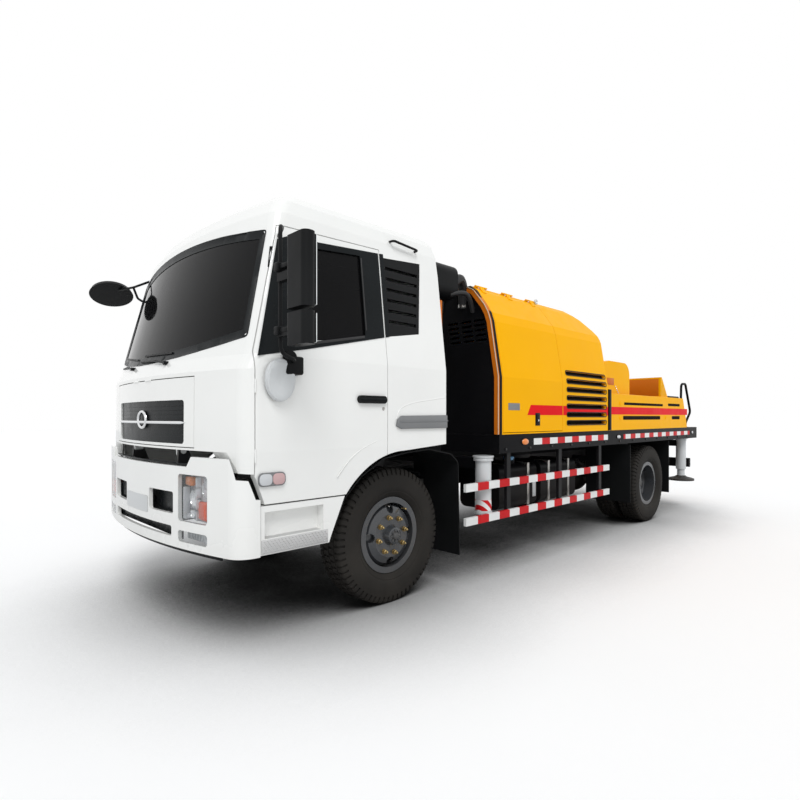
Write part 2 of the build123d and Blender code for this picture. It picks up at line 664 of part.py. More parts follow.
with BuildPart() as housing_space:
    extrude(housing_section(across(HOOD_REAR - HOOD_SKIN), 1780, HOOD_SKIN), amount=HOOD_REAR - HOOD_FRONT)
    outline(along(-1300), rear_slope(HOOD_SKIN), 2600, Mode.SUBTRACT)
with BuildPart() as housing_skin:
    extrude(housing_section(across(HOOD_REAR), 1780), amount=HOOD_REAR - HOOD_FRONT)
    outline(along(-1300), rear_slope(0), 2600, Mode.SUBTRACT)
    add(housing_space.part, mode=Mode.SUBTRACT)

DOOR_CUT = [
    (HOOD_HINGE_X + 3, HOOD_ROOF + 20), (HOOD_HINGE_X + 3, DECK_TOP + 12), (SIDE_X + 20, DECK_TOP + 12), (SIDE_X + 20, HOOD_ROOF + 20),
]
with BuildPart() as housing_body:
    add(housing_skin.part)
    for side in (-1, 1):
        outline(across(HOOD_SPLIT), [(side * x, z) for x, z in DOOR_CUT], HOOD_SPLIT - HOOD_FRONT - 12, Mode.SUBTRACT)
    for side in (-1, 1):
        for y in HOOD_HINGES:
            for end in (y - HINGE_LENGTH / 2 - CLEAR, y + HINGE_LENGTH * 1.5 + CLEAR):
                rod(across(end), (side * HOOD_HINGE_X, HOOD_HINGE_Z), HINGE_BARREL, HINGE_LENGTH, HINGE_PIN + CLEAR)
                block(
                    sorted((side * (HOOD_HINGE_X - 50), side * (HOOD_HINGE_X - HINGE_PIN - 2))),
                    (end - HINGE_LENGTH, end),
                    (HOOD_ROOF, HOOD_ROOF + 5),
                )
    for row in range(7):
        with BuildSketch(along(-1300)) as slot:
            with Locations((2812, 1885 - row * 88)):
                SlotOverall(915, 36)
        extrude(slot.sketch, amount=2600, mode=Mode.SUBTRACT)
save(housing_body, "housing_body")

for side, hand in ((1, "left"), (-1, "right")):
    with BuildPart() as hood_door:
        add(housing_skin.part)
        outline(across(HOOD_SPLIT - PANEL_GAP), [
            (side * (x + (PANEL_GAP if x < SIDE_X else 0)), z + (PANEL_GAP if z < SIDE_X + 100 else 0)) for x, z in DOOR_CUT
        ], HOOD_SPLIT - HOOD_FRONT - 12 - 2 * PANEL_GAP, Mode.INTERSECT)
        for y in HOOD_HINGES:
            end = y + HINGE_LENGTH / 2
            rod(across(end), (side * HOOD_HINGE_X, HOOD_HINGE_Z), HINGE_BARREL, HINGE_LENGTH)
            rod(across(end + HINGE_LENGTH), (side * HOOD_HINGE_X, HOOD_HINGE_Z), HINGE_PIN, 3 * HINGE_LENGTH)
            outline(across(end), [
                (side * HOOD_HINGE_X, HOOD_HINGE_Z - 6), (side * (HOOD_HINGE_X + 6), HOOD_HINGE_Z + 2),
                (side * (HOOD_HINGE_X + 50), 2596), (side * (HOOD_HINGE_X + 38), 2590),
            ], HINGE_LENGTH)
    save(hood_door, f"hood_door_{hand}")

# Hydraulic tank behind the housing, rounded towards the rear
with BuildPart() as hydraulic_tank:
    outline(along(-1130), [(3420, DECK_TOP), (4180, DECK_TOP), (4180, 2110), (3420, 2110)], 2260)
    fillet(hydraulic_tank.edges().filter_by(Axis.X).sort_by(Axis.Z)[-2:], 160)
save(hydraulic_tank, "hydraulic_tank")

# Side boards along the deck, with a front post
with BuildPart() as side_boards:
    outline(along(SIDE_X - 45), [(3400, DECK_TOP), (6050, DECK_TOP), (5870, 1690), (3400, 1690)], 45)
    block((SIDE_X - 50, SIDE_X + 8), (3334, 3394), (DECK_TOP, 1742))
    mirror(about=Plane.YZ)
save(side_boards, "side_boards")

# Pumping unit: drive cylinders, water box and concrete cylinders
WATER_BOX_FRONT = 4520
WATER_BOX_REAR = 4920
with BuildPart() as pumping_unit:
    block((-330, 330), (WATER_BOX_FRONT, WATER_BOX_REAR), (DECK_TOP, 1720))
    for side in (-1, 1):
        at = (side * CYLINDER_X, CYLINDER_Z)
        rod(across(WATER_BOX_FRONT), at, 80, WATER_BOX_FRONT - 4180)
        rod(across(HOPPER_FRONT), at, 122, HOPPER_FRONT - WATER_BOX_REAR, VALVE_BORE / 2)
    block((-300, 300), (5300, 5380), (DECK_TOP, 1420))
save(pumping_unit, "pumping_unit")

# Hopper: a trough with a rounded floor between two end plates, a rim, and a splash guard with sloping wings
with BuildPart() as hopper_trough:
    trough_rear = HOPPER_REAR - HOPPER_WALL - CLEAR
    extrude(hopper_profile(across(trough_rear), 0), amount=trough_rear - HOPPER_FRONT - HOPPER_WALL - CLEAR)
    inner_profile = hopper_profile(across(trough_rear), HOPPER_WALL)
    extrude(inner_profile, amount=trough_rear - HOPPER_FRONT - HOPPER_WALL - CLEAR, mode=Mode.SUBTRACT)
    block((-HOPPER_HALF + HOPPER_WALL, HOPPER_HALF - HOPPER_WALL), (HOPPER_FRONT, HOPPER_REAR), (1600, HOPPER_TOP), Mode.SUBTRACT)
    for side in (-1, 1):
        rod(along(side * 850 - 60), ((HOPPER_FRONT + HOPPER_REAR) / 2, HOPPER_SHAFT_Z), 70, 120)
    rod(along(-HOPPER_HALF), ((HOPPER_FRONT + HOPPER_REAR) / 2, HOPPER_SHAFT_Z), 32, 2 * HOPPER_HALF, mode=Mode.SUBTRACT)
with BuildPart() as hopper_plates:
    extrude(hopper_profile(across(HOPPER_FRONT + HOPPER_WALL), 0), amount=HOPPER_WALL)
    extrude(hopper_profile(across(HOPPER_REAR), 0), amount=HOPPER_WALL)
    for side in (-1, 1):
        at = (side * CYLINDER_X, CYLINDER_Z)
        rod(across(HOPPER_FRONT + HOPPER_WALL), at, VALVE_BORE / 2, HOPPER_WALL, mode=Mode.SUBTRACT)
    rod(across(HOPPER_REAR), (0, OUTLET_Z), VALVE_BORE / 2 + VALVE_WALL + 1, HOPPER_WALL, mode=Mode.SUBTRACT)
with BuildPart() as hopper_rim:
    outer = HOPPER_HALF + 25
    ledge = HOPPER_HALF - 40
    block((-outer, outer), (HOPPER_FRONT - 25, HOPPER_REAR + 25), (HOPPER_TOP - HOPPER_RIM, HOPPER_TOP))
    block((-ledge, ledge), (HOPPER_FRONT + 40, HOPPER_REAR - 40), (HOPPER_TOP - HOPPER_RIM, HOPPER_TOP), Mode.SUBTRACT)
with BuildPart() as splash_guard:
    low = HOPPER_TOP + CLEAR
    block((-HOPPER_HALF, HOPPER_HALF), (HOPPER_FRONT, HOPPER_FRONT + HOPPER_WALL), (low, SPLASH_TOP))
    for side in (-1, 1):
        outline(along(side * (HOPPER_HALF - HOPPER_WALL / 2) - HOPPER_WALL / 2), [
            (HOPPER_FRONT, low), (HOPPER_FRONT + 300, low), (HOPPER_FRONT + 50, SPLASH_TOP), (HOPPER_FRONT, SPLASH_TOP),
        ], HOPPER_WALL)
with BuildPart() as hopper:
    add(hopper_trough.part)
    add(hopper_plates.part)
    add(hopper_rim.part)
    add(splash_guard.part)
save(hopper, "hopper")

# Hopper grate: a frame with bars, hinged at the hopper's front rim
GRATE_LOW = HOPPER_TOP + CLEAR
GRATE_HALF = HOPPER_HALF - 24
GRATE_HINGE_Y = HOPPER_FRONT + 40
GRATE_HINGE_Z = GRATE_LOW + 12
GRATE_BARS = 16
with BuildPart() as hopper_grate:
    x = GRATE_HALF
    front, rear = GRATE_HINGE_Y + 14, HOPPER_REAR + 5
    block((-x, x), (front, rear), (GRATE_LOW, GRATE_LOW + 36))
    block((-x + 34, x - 34), (front + 34, rear - 34), (GRATE_LOW, GRATE_LOW + 36), Mode.SUBTRACT)
    for i in range(1, GRATE_BARS):
        bar = -x + i * 2 * x / GRATE_BARS
        block((bar - 6, bar + 6), (front + 30, rear - 30), (GRATE_LOW + 2, GRATE_LOW + 30))
    for i in (1, 2, 3):
        bar = front + i * (rear - front) / 4
        block((-x + 30, x - 30), (bar - 6, bar + 6), (GRATE_LOW + 2, GRATE_LOW + 30))
    for side in (-1, 1):
        rod(along(side * 700 - 50), (GRATE_HINGE_Y, GRATE_HINGE_Z), 11.5, 100)
        block((side * 700 - 40, side * 700 + 40), (GRATE_HINGE_Y, front + 4), (GRATE_LOW + 4, GRATE_LOW + 22))
save(hopper_grate, "hopper_grate")

# Agitator: two half shafts with paddles, one from each side wall
SHAFT_Y = (HOPPER_FRONT + HOPPER_REAR) / 2
with BuildPart() as agitator:
    rod(along(300), (SHAFT_Y, HOPPER_SHAFT_Z), 31, HOPPER_HALF - 310)
    for i, x in enumerate((330, 450, 570)):
        reach = 190 if x < 560 else 110
        for turn in (0, 180):
            a = radians(turn + 60 * i)
            dy, dz = cos(a), sin(a)
            outline(along(x), [
                (SHAFT_Y - 18 * dz, HOPPER_SHAFT_Z + 18 * dy),
                (SHAFT_Y + reach * dy - 18 * dz, HOPPER_SHAFT_Z + reach * dz + 18 * dy),
                (SHAFT_Y + reach * dy + 18 * dz, HOPPER_SHAFT_Z + reach * dz - 18 * dy),
                (SHAFT_Y + 18 * dz, HOPPER_SHAFT_Z - 18 * dy),
            ], 30)
            outline(along(x - 25), [
                (SHAFT_Y + (reach - 40) * dy - 45 * dz, HOPPER_SHAFT_Z + (reach - 40) * dz + 45 * dy),
                (SHAFT_Y + reach * dy - 45 * dz, HOPPER_SHAFT_Z + reach * dz + 45 * dy),
                (SHAFT_Y + reach * dy + 45 * dz, HOPPER_SHAFT_Z + reach * dz - 45 * dy),
                (SHAFT_Y + (reach - 40) * dy + 45 * dz, HOPPER_SHAFT_Z + (reach - 40) * dz - 45 * dy),
            ], 80)
    mirror(about=Plane.YZ)
save(agitator, "agitator")

# Swing pipe: bent from the cylinders' height down to the outlet's axis
SWING = sqrt(CYLINDER_X**2 + (CYLINDER_Z - OUTLET_Z) ** 2)
PIPE_RADIUS = VALVE_BORE / 2 + VALVE_WALL
with BuildPart() as swing_pipe:
    with BuildLine() as route:
        FilletPolyline(
            (0, FRONT_AXLE_Y + HOPPER_FRONT + HOPPER_WALL + 8, OUTLET_Z + SWING),
            (0, FRONT_AXLE_Y + HOPPER_FRONT + 200, OUTLET_Z + SWING),
            (0, FRONT_AXLE_Y + HOPPER_REAR - 330, OUTLET_Z),
            (0, FRONT_AXLE_Y + HOPPER_REAR + 30, OUTLET_Z),
            radius=230,
        )
    with BuildSketch(Plane(origin=route.line @ 0, z_dir=route.line % 0)) as ring:
        Circle(PIPE_RADIUS)
        Circle(VALVE_BORE / 2, mode=Mode.SUBTRACT)
    sweep(ring.sketch, path=route.line)
save(swing_pipe, "swing_pipe")

# Outlet: flange, clamped bend and reducer behind the hopper
with BuildPart() as outlet_pipe:
    rod(across(HOPPER_REAR + 34), (0, OUTLET_Z), 150, 34, PIPE_RADIUS + 0.6)
    rod(across(HOPPER_REAR + 62), (0, OUTLET_Z), 150, 28, VALVE_BORE / 2)
    with BuildSketch(across(HOPPER_REAR + 62)) as start:
        with Locations((0, OUTLET_Z)):
            Circle(PIPE_RADIUS)
            Circle(VALVE_BORE / 2, mode=Mode.SUBTRACT)
    extrude(start.sketch, amount=HOPPER_REAR + 62 - WHEELBASE - REAR_OVERHANG)
    rod(across(WHEELBASE + REAR_OVERHANG), (0, OUTLET_Z), PIPE_RADIUS + 16, 28, VALVE_BORE / 2)
save(outlet_pipe, "outlet_pipe")

# Jacks: outer tubes with flanges on the jack beams, and sliding legs with feet
JACKS = (  # name, x, y, tube bottom, tube top, foot radius, foot height
    ("front_left", FRONT_JACK_X, FRONT_JACK_Y, 560, 1060, 68, 520),
    ("front_right", -FRONT_JACK_X, FRONT_JACK_Y, 560, 1060, 68, 520),
    ("rear_left", REAR_JACK_X, REAR_JACK_Y, 600, 1070, 185, 425),
    ("rear_right", -REAR_JACK_X, REAR_JACK_Y, 600, 1070, 185, 425),
)
with BuildPart() as jack_tubes:
    for name, x, y, low, high, foot, foot_z in JACKS:
        rod(level(low), (x, y), JACK_RADIUS, high - low, LEG_RADIUS + 1)
        rod(level(high), (x, y), JACK_RADIUS + 22, 14)
save(jack_tubes, "jack_tubes")
for name, x, y, low, high, foot, foot_z in JACKS:
    with BuildPart() as jack_leg:
        rod(level(foot_z + 20), (x, y), LEG_RADIUS, high - foot_z - 30)
        rod(level(foot_z), (x, y), foot, 22)
    save(jack_leg, f"jack_{name}")

# Rear bar with lamps, and the loop handles at the rear corners
LOOP_RADIUS = 17
LOOP_X = SIDE_X - 45 - LOOP_RADIUS - 1
LOOP = (  # y, z
    (5940, DECK_TOP + 2), (5985, 1925), (6165, 1935), (6392, 1500), (6180, 1330), (6180, DECK_TOP),
)
with BuildPart() as rear_bar:
    block((-1140, 1140), (RAIL_REAR, RAIL_REAR + 60), (620, 760))
    for side in (-1, 1):
        block(sorted((side * 355, side * 415)), (RAIL_REAR, RAIL_REAR + 60), (760, RAIL_TOP))
    for side in (-1, 1):
        tube([(side * LOOP_X, y, z) for y, z in LOOP], 60, LOOP_RADIUS)
save(rear_bar, "rear_bar")
with BuildPart() as rear_lamps:
    for side in (-1, 1):
        for low_x, high_x in ((700, 945), (1045, 1130)):
            block(sorted((side * low_x, side * high_x)), (RAIL_REAR + 60, RAIL_REAR + 95), (635, 748))
save(rear_lamps, "rear_lamps")

# Cab: plan sections from the sill to the roof, lofted
CAB_SECTIONS = (  # height, half width, middle of the front, rear, front corner radius
    (880, 1196, -1455, 452, 110),
    (1210, 1212, -1465, 452, 110),
    (1700, 1212, -1462, 452, 110),
    (1790, 1212, -1418, 452, 110),
    (2560, 1125, -1215, 447, 80),
    (2710, 1103, -1172, 443, 90),
    (2805, 1072, -1112, 425, 100),
    (2862, 1022, -1040, 395, 110),
    (2895, 945, -940, 340, 120),
    (2912, 800, -780, 250, 120),
)


def nose_y(x, z):
    """Where the cab's front surface lies at a height and a distance from the middle."""
    for low, high in zip(CAB_SECTIONS, CAB_SECTIONS[1:]):
        if low[0] <= z <= high[0]:
            front = low[2] + (high[2] - low[2]) * (z - low[0]) / (high[0] - low[0])
    return front + NOSE_BOW_RADIUS - sqrt(NOSE_BOW_RADIUS**2 - x**2)


def cab_form(inset, roof_drop):
    """The cab's outer form, drawn in by an inset all round and lowered at the roof."""
    plans = []
    for height, half, front, rear, corner in CAB_SECTIONS:
        low = height - roof_drop if height > 2750 else height
        plans.append(nose_plan(low, half, front, rear, corner, inset))
    with BuildPart(mode=Mode.PRIVATE) as form:
        loft(plans, ruled=True)
    return form.part


cab_outer = cab_form(0, 0)
cab_inner = cab_form(CAB_WALL, CAB_WALL)
with BuildPart() as cab_wall:
    add(cab_outer)
    add(cab_inner, mode=Mode.SUBTRACT)
    outline(along(-1300), [
        (-1700, 1208), (-1334, 1208), (-1306, 1088), (-1238, 1082), (-1165, DOOR_BOTTOM), (-1165, 800), (-1700, 800),
    ], 2600, Mode.SUBTRACT)
    with BuildSketch(along(-1300)) as arch:
        with Locations((ARCH_Y, ARCH_Z)):
            Circle(ARCH_RADIUS)
        with BuildLine():
            Polyline((ARCH_Y, ARCH_Z + ARCH_RADIUS), (600, 1212), (600, 700), (ARCH_Y, 700), close=True)
        make_face()
    extrude(arch.sketch, amount=2600, mode=Mode.SUBTRACT)
    outline(along(-1300), [(-1700, DOOR_BOTTOM), (700, DOOR_BOTTOM), (700, 800), (-1700, 800)], 2600, Mode.SUBTRACT)

DOOR_OUTLINE = [(-1232, 800), (-1232, 1800), (-1030, 2612), (-190, 2640), (-190, 800)]
DOOR_GAP_OUTLINE = [(-1238, 790), (-1238, 1801), (-1034, 2618), (-184, 2646), (-184, 790)]
WINDOW = [(-1085, 1872), (-330, 1968), (-330, 2588), (-905, 2566)]
QUARTER = [(-165, 2000), (170, 2055), (245, 2625), (-165, 2590)]

DOOR_HINGE_X = 1213
DOOR_HINGE_Y = DOOR_FRONT - PANEL_GAP / 2
DOOR_HINGES = (1150, 1560)
HATCH_HINGE_Y = -1463
HATCH_HINGE_Z = HATCH_TOP + PANEL_GAP / 2
SMALL_BARREL = 5


def door_barrels(side, radius, spare, mode=Mode.ADD):
    """The door hinges' barrels, in the gap ahead of the door."""
    for z in DOOR_HINGES:
        rod(level(z - spare), (side * DOOR_HINGE_X, DOOR_HINGE_Y), radius, 80 + 2 * spare, mode=mode)


def hatch_barrels(radius, spare, mode=Mode.ADD):
    """The front hatch's hinge barrels, in the gap above it."""
    for x in (-170, 70):
        rod(along(x - spare), (HATCH_HINGE_Y, HATCH_HINGE_Z), radius, 100 + 2 * spare, mode=mode)


with BuildPart() as glass_layer:
    add(cab_form(GLASS_INSET, GLASS_INSET))
    add(cab_form(GLASS_INSET + GLASS, GLASS_INSET + GLASS), mode=Mode.SUBTRACT)

with BuildPart() as door_left:
    add(cab_wall.part)
    outline(along(900), DOOR_OUTLINE, 400, Mode.INTERSECT)
    with BuildSketch(along(900)) as window:
        with BuildLine():
            Polyline(*WINDOW, close=True)
        make_face()
        fillet(window.vertices(), 45)
    extrude(window.sketch, amount=400, mode=Mode.SUBTRACT)
    door_barrels(1, SMALL_BARREL, 0)
with BuildPart() as door_right:
    mirror(door_left.part, about=Plane.YZ)
save(door_left, "door_left")
save(door_right, "door_right")

with BuildPart() as door_glass_left:
    add(glass_layer.part)
    with BuildSketch(along(900)) as pane:
        with BuildLine():
            Polyline(*WINDOW, close=True)
        make_face()
        fillet(pane.vertices(), 45)
        offset(amount=-CLEAR)
    extrude(pane.sketch, amount=400, mode=Mode.INTERSECT)
with BuildPart() as door_glass_right:
    mirror(door_glass_left.part, about=Plane.YZ)
save(door_glass_left, "door_glass_left")
save(door_glass_right, "door_glass_right")


def windscreen_outline(plane, inset):
    """The windscreen's outline across the truck: low in the middle, with round corners."""
    with BuildSketch(plane) as pane:
        with BuildLine():
            ThreePointArc((-1125, 1900), (0, 1800), (1125, 1900))
            Line((1125, 1900), (1060, 2585))
            ThreePointArc((1060, 2585), (0, 2650), (-1060, 2585))
            Line((-1060, 2585), (-1125, 1900))
        make_face()
        fillet(pane.vertices(), 70)
        if inset:
            offset(amount=-inset)
    return pane.sketch


def rear_window(plane, inset):
    with BuildSketch(plane) as pane:
        with Locations((0, 2200)):
            RectangleRounded(1150 - 2 * inset, 480 - 2 * inset, 60)
    return pane.sketch


with BuildPart() as cab_floor:
    add(cab_inner)
    block((-1300, 1300), (-1700, 700), (CAB_FLOOR, CAB_FLOOR + FLOOR_THICKNESS), Mode.INTERSECT)
with BuildPart() as cab_shell:
    add(cab_wall.part)
    add(cab_floor.part)
    for side in (-1, 1):
        outline(along(side * 1100 - 200), DOOR_GAP_OUTLINE, 400, Mode.SUBTRACT)
        outline(along(side * 1100 - 200), QUARTER, 400, Mode.SUBTRACT)
    extrude(windscreen_outline(across(-900), 0), amount=800, mode=Mode.SUBTRACT)
    extrude(rear_window(across(600), 0), amount=400, mode=Mode.SUBTRACT)
    gap = HATCH_HALF + PANEL_GAP
    block((-gap, gap), (-1600, -1345), (HATCH_BOTTOM - PANEL_GAP, HATCH_TOP + PANEL_GAP), Mode.SUBTRACT)
    for side in (-1, 1):
        x = side * (LUG_X - 26)
        door_barrels(side, SMALL_BARREL + CLEAR, CLEAR, Mode.SUBTRACT)
        outline(along(x - 10), [
            (PIVOT_Y - 35, CAB_FLOOR), (PIVOT_Y + 60, CAB_FLOOR), (PIVOT_Y + 28, PIVOT_Z - 26), (PIVOT_Y - 28, PIVOT_Z - 26),
        ], 20)
        rod(along(min(x, side * (LUG_X + 18))), (PIVOT_Y, PIVOT_Z), PIVOT_RADIUS, 44)
    hatch_barrels(SMALL_BARREL + CLEAR, CLEAR, Mode.SUBTRACT)
save(cab_shell, "cab_shell")

with BuildPart() as front_hatch:
    add(cab_wall.part)
    block((-HATCH_HALF, HATCH_HALF), (-1600, -1340), (HATCH_BOTTOM, HATCH_TOP), Mode.INTERSECT)
    with BuildSketch(across(-1300)) as opening:
        with Locations((0, (GRILLE_BOTTOM + GRILLE_TOP) / 2)):
            RectangleRounded(2 * GRILLE_HALF, GRILLE_TOP - GRILLE_BOTTOM, 24)
    extrude(opening.sketch, amount=400, mode=Mode.SUBTRACT)
    hatch_barrels(SMALL_BARREL, 0)
save(front_hatch, "front_hatch")

with BuildPart() as grille:
    add(cab_form(12, 12))
    add(cab_form(30, 30), mode=Mode.SUBTRACT)
    with BuildSketch(across(-1300)) as opening:
        with Locations((0, (GRILLE_BOTTOM + GRILLE_TOP) / 2)):
            RectangleRounded(2 * (GRILLE_HALF - CLEAR), GRILLE_TOP - GRILLE_BOTTOM - 2 * CLEAR, 24)
    extrude(opening.sketch, amount=400, mode=Mode.INTERSECT)
save(grille, "grille")

with BuildPart() as panes:
    extrude(windscreen_outline(across(-900), CLEAR), amount=800)
    extrude(rear_window(across(600), CLEAR), amount=400)
with BuildPart() as cab_glass:
    add(glass_layer.part)
    add(panes.part, mode=Mode.INTERSECT)
save(cab_glass, "cab_glass")

WIPERS = ((-330, -860), (330, -160))
MIRROR_INNER = 1458
MIRROR_OUTER = 1653
MIRROR_Y = -1150

# Cab trim: louvred quarter panels, roof handles, round front mirror and wipers
QUARTER_RIBS = 6
with BuildPart() as quarter_panels:
    for side in (-1, 1):
        with BuildSketch(along(side * 1100 - 200)) as quarter:
            with BuildLine():
                Polyline(*QUARTER, close=True)
            make_face()
            offset(amount=-CLEAR)
        extrude(quarter.sketch, amount=400)
    for rib in range(QUARTER_RIBS):
        block((-1300, 1300), (-135, 150 + rib * 11), (2105 + rib * 80, 2130 + rib * 80), Mode.SUBTRACT)
DISH_RADIUS = 185
DISH_NORMAL = (0.4, -0.1, -0.91)
DISH_REACH = DISH_RADIUS * sqrt(1 - DISH_NORMAL[0] ** 2 / sum(n**2 for n in DISH_NORMAL))
DISH = (DISH_REACH - MIRROR_OUTER, -1250, 2570)
with BuildPart() as trim_arms:
    for side in (-1, 1):
        tube([
            (side * 1050, -60, 2735), (side * 1140, -60, 2735), (side * 1140, 200, 2715), (side * 1050, 200, 2715),
        ], 22, 9)
    tube([(-1040, -1040, 2660), (-1150, -1160, 2600), (DISH[0] + 60, DISH[1] + 30, DISH[2] + 40)], 60, 10)
    tube([(-1060, -1060, 2440), (-1130, -1130, 2500), (-1150, -1160, 2596)], 40, 10)
    for pivot, tip in WIPERS:
        z = 1768 + abs(pivot) * 0.05
        front = nose_y(pivot, z)
        elbow = (pivot * 2 + tip) / 3
        rod(across(front + 10), (pivot, z), 13, 38)
        tube([(pivot, front - 20, z), (elbow, nose_y(elbow, z + 30) - 20, z + 26), (tip, nose_y(tip, z + 60) - 9, z + 40)], 150, 7)
    add(cab_outer, mode=Mode.SUBTRACT)
    origin = (DISH[0], FRONT_AXLE_Y + DISH[1], DISH[2])
    with BuildSketch(Plane(origin=origin, z_dir=DISH_NORMAL)) as dish:
        Circle(DISH_RADIUS)
    extrude(dish.sketch, amount=-34, taper=24)
    with BuildSketch(Plane(origin=origin, z_dir=DISH_NORMAL)) as dish_back:
        Circle(40)
    extrude(dish_back.sketch, amount=-52)
with BuildPart() as cab_trim:
    add(cab_form(4, 4))
    add(cab_form(26, 26), mode=Mode.SUBTRACT)
    add(quarter_panels.part, mode=Mode.INTERSECT)
    add(trim_arms.part)
save(cab_trim, "cab_trim")

# Door fittings: handles, and on the left a mirror arm with its foot and two mirror housings
with BuildPart() as door_handle:
    with BuildSketch(along(1200)) as handle:
        with Locations((-340, 1540)):
            SlotOverall(262, 54)
    extrude(handle.sketch, amount=34)
    with BuildSketch(along(1200)) as foot:
        with Locations((-1010, 1740)):
            RectangleRounded(90, 165, 40)
    extrude(foot.sketch, amount=34)
    add(cab_outer, mode=Mode.SUBTRACT)
with BuildPart() as mirror_arm:
    tube([
        (1234 + CLEAR, -1010, 1755), (1295, -1010, 1755), (1345, MIRROR_Y, 1790),
        (1345, MIRROR_Y, 2520), (1250, -1080, 2550), (1090, -1010, 2540),
    ], 60, 12)
    for low, high in ((1812, 1992), (2015, 2420)):
        with BuildSketch(level(low)) as shell:
            with Locations(((MIRROR_INNER + MIRROR_OUTER) / 2, MIRROR_Y)):
                RectangleRounded(MIRROR_OUTER - MIRROR_INNER, 84, 38)
        extrude(shell.sketch, amount=high - low)
        middle = (low + high) / 2
        block((1338, MIRROR_INNER + 20), (MIRROR_Y - 18, MIRROR_Y + 18), (middle - 25, middle + 25))
    add(cab_outer, mode=Mode.SUBTRACT)
with BuildPart() as door_fittings_left:
    add(door_handle.part)
    add(mirror_arm.part)
with BuildPart() as door_fittings_right:
    mirror(door_handle.part, about=Plane.YZ)
save(door_fittings_left, "door_fittings_left")
save(door_fittings_right, "door_fittings_right")

# Cab inside: dash, two seats, engine cover and steering wheel
with BuildPart() as cab_interior:
    floor_top = CAB_FLOOR + FLOOR_THICKNESS
    outline(along(-1090), [(-1360, floor_top), (-1250, floor_top), (-1180, 1560), (-1020, 1600), (-1000, 1700), (-1360, 1740)], 2180)
    block((-230, 230), (-1000, 330), (floor_top, 1480))
    for side in (-1, 1):
        x = side * 640
        block((x - 240, x + 240), (-600, -100), (floor_top, 1620))
        outline(along(x - 240), [(-230, 1620), (-100, 1620), (60, 2330), (-40, 2340)], 480)
    tube([(640, -1080, 1640), (640, -960, 1830), (640, -925, 1892)], 200, 28)
    with BuildSketch(Plane(origin=(640, FRONT_AXLE_Y - 925, 1885), z_dir=(0, 0.45, 0.9))) as wheel:
        Circle(230)
        Circle(205, mode=Mode.SUBTRACT)
        Rectangle(420, 34)
    extrude(wheel.sketch, amount=24)
    add(cab_form(CAB_WALL + CLEAR, CAB_WALL + CLEAR), mode=Mode.INTERSECT)
save(cab_interior, "cab_interior")

# Air intake and its column behind the cab
with BuildPart() as air_intake:
    block((600, 760), (700, 900), (860, 2500))
    block((RAIL_X, 600), (740, 860), (860, 940))
    with BuildSketch(across(930)) as head:
        with Locations((740, 2640)):
            RectangleRounded(400, 300, 90)
    extrude(head.sketch, amount=320)
save(air_intake, "air_intake")
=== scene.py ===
# %% [markdown]
# # A concrete line pump on a truck, dressed for its portrait
# The engineering model gives every solid of the truck at its real place, in metres: +Z up, the nose
# towards -Y and the truck's own left towards +X. This lesson leaves those solids where they are. It gives
# them paint, rubber and glass, and adds what is too fine for them: tyre tread, wheel nuts, lamps,
# stripes, hoses and seats.

import json
from math import atan2, cos, exp, hypot, pi, radians, sin

import bpy
import bmesh
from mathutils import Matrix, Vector


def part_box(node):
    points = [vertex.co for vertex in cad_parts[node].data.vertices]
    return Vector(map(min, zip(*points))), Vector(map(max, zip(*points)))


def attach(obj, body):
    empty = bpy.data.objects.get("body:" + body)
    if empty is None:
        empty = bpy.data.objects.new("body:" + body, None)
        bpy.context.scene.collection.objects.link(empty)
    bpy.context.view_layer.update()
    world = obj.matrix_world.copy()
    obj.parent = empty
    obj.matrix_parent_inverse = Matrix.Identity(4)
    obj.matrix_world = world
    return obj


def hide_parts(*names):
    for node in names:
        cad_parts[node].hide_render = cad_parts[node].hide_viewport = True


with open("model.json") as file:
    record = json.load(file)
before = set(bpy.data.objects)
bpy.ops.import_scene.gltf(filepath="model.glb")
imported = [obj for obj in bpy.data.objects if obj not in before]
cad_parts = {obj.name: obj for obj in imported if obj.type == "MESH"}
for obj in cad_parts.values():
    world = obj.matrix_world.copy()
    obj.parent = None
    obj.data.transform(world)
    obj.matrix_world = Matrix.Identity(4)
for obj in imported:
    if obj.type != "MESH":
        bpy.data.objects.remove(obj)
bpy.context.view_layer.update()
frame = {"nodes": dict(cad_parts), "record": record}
nodes = frame["nodes"]

# %% [markdown]
# ## The viewpoint
# The portrait is taken from the truck's front left corner, from a standing person's chest height, with a
# short lens. The camera is level, so upright edges stay upright, and a small shift frames the truck.

# %% Camera
CAMERA_PLACE = (4.016, -5.476, 1.418)
CAMERA_TURN = radians(45.88)
CAMERA_LENS = 23.85
CAMERA_SHIFT = (-0.0008, 0.0213)

camera_data = bpy.data.cameras.new("portrait_camera")
camera_data.sensor_width = 36
camera_data.lens = CAMERA_LENS
camera_data.shift_x, camera_data.shift_y = CAMERA_SHIFT
camera_data.clip_end = 200
camera = bpy.data.objects.new("portrait_camera", camera_data)
camera.location = CAMERA_PLACE
camera.rotation_euler = (radians(90), 0, CAMERA_TURN)
bpy.context.scene.collection.objects.link(camera)
bpy.context.scene.camera = camera
bpy.context.scene.view_settings.view_transform = "Standard"
print("camera at", CAMERA_PLACE)

# %% [markdown]
# ## Light and floor
# A bright overcast yard: the sky lights everything from all round, and a wide, soft sun from the truck's
# front left shapes the panels. The floor is nearly white, with a painted shadow that darkens it under the truck.

# %% Sky, sun and floor
SKY_LIGHT = 0.62
SUN_LIGHT = 1.5
SUN_SOFTNESS = radians(28)
SUN_TURN = (radians(22), radians(34), 0)
FLOOR_RADIUS = 60
FLOOR_GLOW = 0.22


